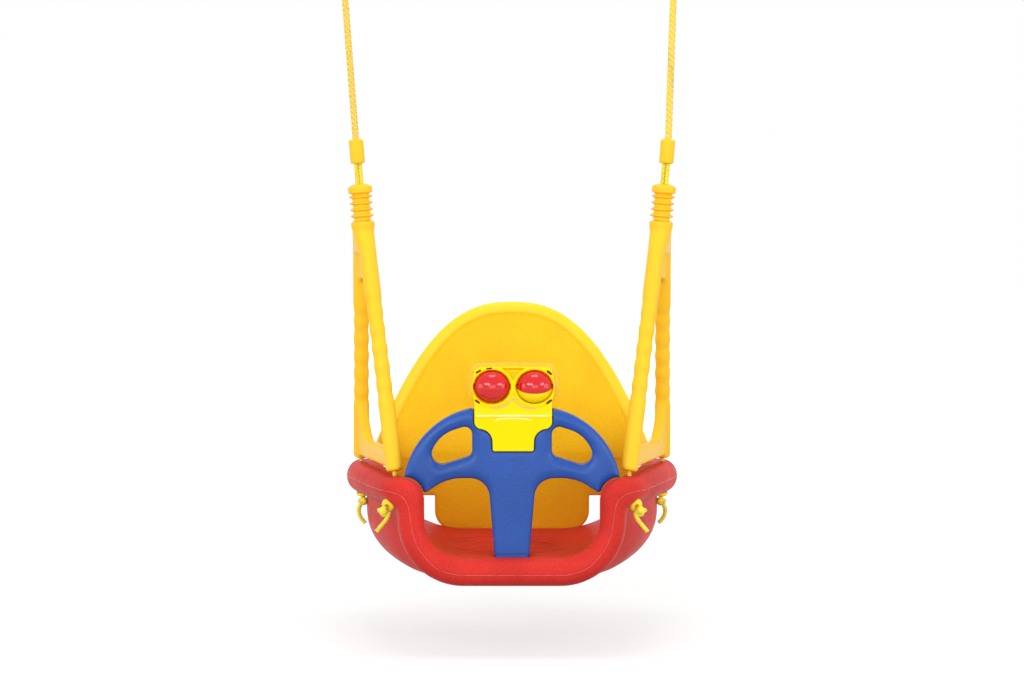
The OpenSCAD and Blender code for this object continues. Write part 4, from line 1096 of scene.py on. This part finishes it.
def console():
    t = np.arange(90) * 2 * math.pi / 90
    sockets = [columns(x + SOCKET_R * BALL_LONG * np.cos(t), BALL_Z + SOCKET_R * np.sin(t))
               for x in (-BALL_HALF, BALL_HALF)]
    right = PANEL_CORNERS[::-1] + [(47.7, 88, 14), (51.3, 109, 28), (47.3, 133, 9)]
    outer = rounded(both_halves(right, [(0, 134, 150)]), 12)
    lid = anticlockwise(resample(outer, 1.2))

    def recess(px, pz, g):
        """One in the sunk place between the sockets, and zero round it."""
        up = smooth(3.7, 4.5, g) * smooth(117, 119, pz) * (1 - smooth(129.8, 133, pz))
        return up * (1 - smooth(25, 26, np.abs(px)))

    def front(px, pz, d):
        at = columns(px, pz)
        y = face_y(pz)
        y -= 0.6 * np.clip(1 - ((pz - BEND_Z) / 2.4) ** 2, 0, 1) ** 1.5
        g = edge_distance(at, sockets)
        rim = np.sqrt(np.clip(1 - ((g - 2.2) / 2.2) ** 2, 0, 1))
        top = np.sqrt(np.clip(1 - ((edge_distance(at, [lid]) - 2.0) / 2.0) ** 2, 0, 1)) * smooth(112, 122, pz)
        y -= 1.3 * np.maximum(rim, top)
        y += 2.4 * recess(px, pz, g)
        return y + round_edge(d, 1.0)

    def back(px, pz, d):
        return np.where(pz < HUB_TOP - 2, BAR_FRONT + PANEL_DEPTH - FIT, CONSOLE_MIDDLE) - round_edge(d, 0.6)

    rings = [0.1, 0.3, 0.6, 1.0, 1.6, 2.2, 2.9, 3.6, 4.4, 5.0, 5.6]
    v, f = plate(outer, sockets + [slot_hole(*one) for one in SLOTS], front, back, rings, 1.4, step=1.0)
    x, y, z = middles(v, f).T
    # The faces of the sunk place take the deeper amber, a painted shade in the recess.
    low = recess(x, z, edge_distance(columns(x, z), sockets)) * (y < CONSOLE_MIDDLE - 3) > 0.25
    obj = console_piece("console_face", v, f, LEMON, "lemon_housing", replaces="console_front", sharp=42)
    repaint(obj, RECESS_SHADE, low)
    v, f = plate(rounded(both_halves(SHELL_CORNERS, [(0, 138.7, 150)]), 10), sockets,
                 lambda px, pz, d: CONSOLE_MIDDLE + round_edge(d, 1.2) + 0.02,
                 lambda px, pz, d: CONSOLE_BACK - round_edge(d, 2.0), [0.2, 0.6, 1.2, 2.0], 4, step=1.4)
    console_piece("console_back_shell", v, f, CLEAR, "pale_housing", replaces="console_back", sharp=42)
    # Dark plates just behind the slots' openings: painted shade inside the slots
    v, f = merged(*[plate(slot_hole(cx, cz, length + 1, wide + 1, tilt), [], lambda px, pz, d: face_y(pz) + 1.6,
                          lambda px, pz, d: face_y(pz) + 2.6, [], 1.5, step=0.8)
                    for cx, cz, length, wide, tilt in SLOTS])
    console_piece("console_slot_shade", v, f, SLOT_SHADE, "lemon_housing")
    # Pale lines along the bend and along the raised arch below it, whose pale colour is a painted highlight, and a pink
    # line under the two sockets, a painted reflection of the red balls
    bead("console_bend", BEND_LINE, 1.0, 0.25)
    bead("console_arch", ARCH_LINE, 0.62, -0.25)
    # The pink line under the sockets is a painted reflection of the red balls.
    bead("console_edge", UNDER_SOCKET + [(-x, z - 0.4) for x, z in UNDER_SOCKET[-2::-1]], 0.95, 0.25, BALL_REFLECTION,
         "pale_housing", 0.35, 6)


POLE, BALL_STEPS = 22.75, 64


def ball(side, colour, turn, material):
    """Half of a ball, split through its axle, with its little poles. turn is how far it is turned on the axle."""
    t = np.radians(np.linspace(-78, 78, 49))
    low = [[2.15, -POLE], [2.9, -POLE], [3.4, -POLE + 0.5]]
    profile = np.vstack([low, columns(BALL_R * np.cos(t), BALL_LONG * BALL_R * np.sin(t)),
                         [[x, -z] for x, z in low[::-1]]])
    inner = profile.copy()
    inner[3:-3] *= [0.9, 0.93]
    skin, lining = [revolve(p, BALL_STEPS, turn=179.2, start=0.4) for p in (profile, inner)]
    verts, faces = merged(skin, (lining[0], [q[::-1] for q in lining[1]]))
    half, n = len(skin[0]), len(profile)
    for base, flip in ((0, False), (BALL_STEPS * n, True)):
        for k in range(n - 1):
            q = (base + k, base + k + 1, half + base + k + 1, half + base + k)
            faces.append(q if flip else q[::-1])
    # From the profile's upright axis to the axle along X, then turned about it
    x, y, z = verts.T
    c, s = cosd(turn), sind(turn)
    v = columns(z, -x * c + y * s, -x * s - y * c)
    v += [CONSOLE_X + (-1 if side == "left" else 1) * BALL_HALF, CONSOLE_MIDDLE, BALL_Z]
    make(f"ball_{side}_{colour}_half", v, faces, material, body=f"ball_{side}", slot=f"{colour}_ball",
         replaces=f"ball_{side}_{colour}", sharp=45)


# ---------- side frames, collars, sleeves, caps, rings ----------

def wave(w, first):
    n = (w - first) / 23.8
    m = np.clip(2 * np.minimum(n + 0.9, 4.9 - n), 0, 1)
    return 1.5 * m * (0.6 - 0.4 * np.cos(2 * math.pi * n))


def tilted(v, end):
    x, y, z = v.T
    a = math.radians(end * LEG_LEAN)
    c, s = math.cos(a), math.sin(a)
    return columns(x, y * c - z * s + end * FOOT_SPAN / 2, y * s + z * c)


def pair(name, verts, faces, material, slot, replaces, sharp=None, sides=SIDES):
    """A piece whose points are given for the right side, and its mirror image on the left."""
    for side in sides:
        make(f"{name}_{side}", sided(verts, side), faces if side == "right" else [f[::-1] for f in faces], material,
             slot=slot, replaces=f"{replaces}_{side}", sharp=sharp)


def convex_hull(points):
    bm = bmesh.new()
    for p in points:
        bm.verts.new(p)
    out = bmesh.ops.convex_hull(bm, input=bm.verts)
    spare = [g for g in out["geom_interior"] + out["geom_unused"] if isinstance(g, bmesh.types.BMVert)]
    bmesh.ops.delete(bm, geom=list(set(spare)), context="VERTS")
    bm.verts.index_update()
    v = np.array([x.co[:] for x in bm.verts])
    f = [tuple(x.index for x in face.verts) for face in bm.faces]
    bm.free()
    return v, f


def frame_loop():
    """The opening in the web: an arch at the top, and rounded corners above the foot bar."""
    lean = math.radians(LEG_LEAN)
    half, web_low = FOOT_SPAN / 2, 237.0
    arch = math.sin(lean) * (APEX - web_low) / (1 - math.sin(lean))
    circles = []
    for r, tall, sign in ((30.0, 66.0, 1), (16.0, 16.0, -1)):
        rise = 27.0 + tall
        beside = r / math.cos(lean) * (1.1 if sign > 0 else 1)
        circles.append((sign * (half * (1 - rise / APEX) - beside), rise, r, tall))
    circles.append((0, web_low - arch, arch, arch))
    t = np.radians(np.arange(0, 360, 5))
    pts = np.vstack([columns(cx + r * np.cos(t), cz + tall * np.sin(t)) for cx, cz, r, tall in circles])
    hull = []
    pts = sorted(map(tuple, pts))
    for sweep_ in (pts, pts[::-1]):
        part = []
        for p in sweep_:
            while len(part) > 1 and ((part[-1][0] - part[-2][0]) * (p[1] - part[-2][1])
                                     - (part[-1][1] - part[-2][1]) * (p[0] - part[-2][0])) <= 0:
                part.pop()
            part.append(p)
        hull += part[:-1]
    return np.array(hull)


def side_frames():
    parts, cone = [], []
    ring = np.radians(np.arange(0, 360, 6))
    for end, first in ((-1, 108.0), (1, 92.0)):
        w = np.concatenate([[2.0], np.arange(4, NECK_LOW + 4.1, 1.0)])
        profile = np.vstack([[[0, 0], [LEG_R - 2.2, 0], [LEG_R - 0.7, 0.6]], columns(LEG_R - wave(w, first), w),
                             [[0, NECK_LOW + 4]]])
        v, f = revolve(profile, 72)
        parts.append((tilted(v, end), f))
        cone += [tilted(columns(LEG_R * np.cos(ring), LEG_R * np.sin(ring), w), end)
                 for w in (NECK_LOW, NECK_LOW + 4)]
    cone += [columns(r * np.cos(ring), r * np.sin(ring), w)
             for w, r in ((HEAD_LOW + 3, HEAD_R - 1.5), (HEAD_LOW + 2, HEAD_R - 1.6))]
    parts.append(convex_hull(np.vstack(cone)))
    parts.append(revolve([[0, HEAD_LOW - 6], [HEAD_R - 3, HEAD_LOW - 6], [HEAD_R - 1.5, HEAD_LOW + 3],
                          [HEAD_R, HEAD_LOW + 6], [HEAD_R, HEAD_TOP - 1], [HEAD_R - 1, HEAD_TOP], [0, HEAD_TOP]], 72))
    low, high = [FOOT_SPAN / 2 * (1 - w / APEX) for w in (3, HEAD_LOW)]
    web = np.array([[-low, 3], [low, 3], [high, HEAD_LOW], [-high, HEAD_LOW]])
    v, f = plate(web, [frame_loop()], lambda px, pz, d: -6.5 + round_edge(d, 2.5),
                 lambda px, pz, d: 6.5 - round_edge(d, 2.5), quarter_rings(2.5, 4)[1:], 6)
    parts.append((v[:, [1, 0, 2]], [q[::-1] for q in f]))
    v, f = merged(*parts)
    co, quads = remeshed(faced_out(make("frame_base", to_frame(v), f, body=None)), 1.0)
    co = relax(relax(co, quads, 8), quads, 50, hollows_only=True)
    pair("a_frame", relax(co, quads, 16), quads, FRAME, "yellow_frame", "side_frame")


# A rib's outline: radii, and heights from the rib's middle
RIB = [[10.5, -3.2], [11.0, -2.3], [13.6, -1.2], [14.5, -0.75], [14.9, 0], [14.5, 0.75], [13.6, 1.2], [11.0, 2.3],
       [10.5, 3.2]]
RIB_FIRST, RIB_STEP = 6.5, 8


def collars():
    ribs = [[r, HEAD_TOP + RIB_FIRST + RIB_STEP * k + w] for k in range(4) for r, w in RIB]
    low, top = DISC_LOW, COLLAR_TOP
    profile = ([[5.6, SPIGOT_LOW], [8.7, SPIGOT_LOW], [8.7, HEAD_TOP + 0.2], [10.7, HEAD_TOP + 0.3]] + ribs
               + [[10.6, low - 2.2], [12.5, low - 1.2], [14.3, low - 0.8], [15.1, low], [15.2, low + 1],
                  [15.2, top - 4.6], [15.0, top - 3.6], [14.2, top - 2.7], [9.2, top - 0.4], [8.2, top], [6.4, top],
                  [5.6, top - 0.8], [5.6, SPIGOT_LOW]])
    v, f = revolve(profile, 72)
    pair("collar", to_collar(v), f, FRAME, "yellow_frame", "rope_collar", 50)
    a, b = SLEEVE_LOW, SLEEVE_LOW + SLEEVE_H
    v, f = revolve([[0, a + 1.5], [5.6, a + 0.4], [6.6, a], [7.6, a + 0.2], [8.6, a + 0.9], [9.1, a + 2],
                    [SLEEVE_R, a + 3.4], [SLEEVE_R, b - 3.4], [9.1, b - 2], [8.6, b - 0.9], [7.6, b - 0.2], [6.4, b],
                    [5.2, b - 0.4], [0, b - 1.5]], 64)
    pair("sleeve", to_collar(v), f, FRAME, "yellow_frame", "rope_sleeve", 60)


def cap_place(end):
    """Where a cap sits, and the way it faces, for the right side. The front caps sit a little aside and turned."""
    if end > 0:
        return cap_seat(end), WAY_OUT[end]
    return cap_seat(end) + np.array([-3.5, -2.5, -3.0]), unit(0.4 * WAY_OUT[end] + 0.6 * np.array([0.35, -1, -0.1]))


def caps():
    v, f = revolve([[2.8, 0], [CAP_R - 0.3, 0], [CAP_R, 0.4], [CAP_R, 2.4], [CAP_R - 0.4, 3.3], [CAP_R - 1.4, 4.4],
                    [CAP_R - 2.6, CAP_H], [2.8, CAP_H], [2.8, 0]], 48)
    v[:, 2] -= 1.0
    for side in SIDES:
        for end, which in END_NAME.items():
            seat_at, w = cap_place(end)
            turn = np.array(Vector((0, 0, 1)).rotation_difference(Vector(w)).to_matrix())
            pair(f"rope_cap_{which}", v @ turn.T + seat_at, f, CAP, "yellow_cap", f"cap_{which}", 40, [side])


def hang_rings():
    t, a = np.linspace(0, 2 * math.pi, 121)[:-1], np.arange(20) * 2 * math.pi / 20
    out = columns(0, np.cos(t), np.sin(t))
    across = RING_WIRE / 2 * (np.cos(a)[:, None] * out[:, None] + np.sin(a)[:, None] * [1, 0, 0])
    for side in SIDES:
        middle = sided([HANG_X[side], 0, HANG], side)
        verts = ((middle + RING_R * out)[:, None] + across).reshape(-1, 3)
        make(f"steel_ring_{side}", verts, grid_faces(120, 20, closed_rows=True), STEEL, body="hanger", slot="steel",
             replaces=f"hang_ring_{side}")


# ---------- stage and light ----------

FLOOR, FLOOR_HALF = -0.885, 7
FLOOR_NEAR, FLOOR_FAR, FLOOR_GLOW = 1.05, 2.2, 0.60
AMBIENT = 0.62
LIT = Vector((0, -0.05, -0.56))   # the point that every lamp faces
# Name, direction and distance from there, width, height, and the radiance that a mirror would show of it
LAMPS = (("key_left", (-0.46, -0.82, 0.34), 3.9, 2.2, 0.8, 9.4),
         ("key_right", (0.70, -0.64, 0.32), 4.0, 1.7, 0.8, 8.2),
         ("top", (0.02, -0.12, 1.0), 3.2, 1.5, 1.0, 5.0),
         ("front", (0.04, -1.0, 0.07), 4.3, 2.6, 1.6, 2.5),
         ("side_left", (-1.0, -0.3, 0.0), 3.4, 1.8, 1.8, 2.4),
         ("side_right", (1.0, -0.3, 0.0), 3.4, 1.8, 1.8, 2.4),
         ("back_top", (0.0, 0.62, 0.78), 3.6, 2.4, 1.4, 1.3))


def seen_by(tree):
    """One where the white background shows: to the camera, and in metal and glass."""
    rays = add_node(tree, "LightPath").outputs
    both = maths(tree, "MAXIMUM", rays["Is Camera Ray"], rays["Is Glossy Ray"])
    return maths(tree, "MAXIMUM", both, rays["Is Transmission Ray"])


def cleared(owner):
    owner.use_nodes = True
    owner.node_tree.nodes.clear()
    return owner.node_tree


def add_stage():
    m = bpy.data.materials.new("floor_white")
    tree = cleared(m)
    where = add_node(tree, "TexCoord").outputs["Object"]
    far = add_node(tree, "VectorMath", {0: where}, operation="LENGTH").outputs["Value"]
    glow = add_node(tree, "MapRange", {"Value": far, "From Min": FLOOR_NEAR, "From Max": FLOOR_FAR,
                                       "To Min": FLOOR_GLOW, "To Max": 1.0}, interpolation_type="SMOOTHSTEP")
    level = maths(tree, "MULTIPLY", seen_by(tree), glow.outputs["Result"])
    diffuse = add_node(tree, "BsdfDiffuse", {"Color": (0.42, 0.42, 0.42, 1)}).outputs[0]
    add = add_node(tree, "AddShader", {0: diffuse, 1: add_node(tree, "Emission", {"Strength": level}).outputs[0]})
    add_node(tree, "OutputMaterial", {"Surface": add.outputs[0]})
    mesh = bpy.data.meshes.new("floor")
    s = FLOOR_HALF
    mesh.from_pydata([(-s, -s, 0), (s, -s, 0), (s, s, 0), (-s, s, 0)], [], [(0, 1, 2, 3)])
    floor = bpy.data.objects.new("floor", mesh)
    floor.location = (0, 0, FLOOR)
    COLLECTION.objects.link(floor)
    mesh.materials.append(m)
    world = bpy.data.worlds.new("studio")
    bpy.context.scene.world = world
    tree = cleared(world)
    level = maths(tree, "MAXIMUM", seen_by(tree), AMBIENT)
    sky = add_node(tree, "Background", {"Color": (1, 1, 1, 1), "Strength": level})
    add_node(tree, "OutputWorld", {"Surface": sky.outputs[0]})


def add_light(name, way, distance, width, height, radiance):
    data = bpy.data.lights.new(name, "AREA")
    data.shape = "RECTANGLE"
    data.size, data.size_y = width, height
    data.energy = radiance * width * height * math.pi
    obj = bpy.data.objects.new(name, data)
    obj.location = LIT + Vector(unit(way)) * distance
    obj.rotation_euler = (LIT - obj.location).to_track_quat("-Z", "Y").to_euler()
    COLLECTION.objects.link(obj)


seat_shell()
seat_lines()
backrest()
restraint_bar()
console()
for side, turn in (("left", 270), ("right", 201)):
    ball(side, "red", turn, BALL_RED)
    ball(side, "yellow", turn - 180, BALL_YELLOW)
side_frames()
collars()
caps()
hang_rings()
for name, material in (("console_screws", STEEL), ("ball_axle_left", STEEL), ("ball_axle_right", STEEL),
                       ("backrest_pins", FRAME)):
    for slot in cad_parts[name].material_slots:
        slot.material = material
add_stage()
for lamp in LAMPS:
    add_light(*lamp)
bpy.context.scene.view_settings.view_transform = "Standard"
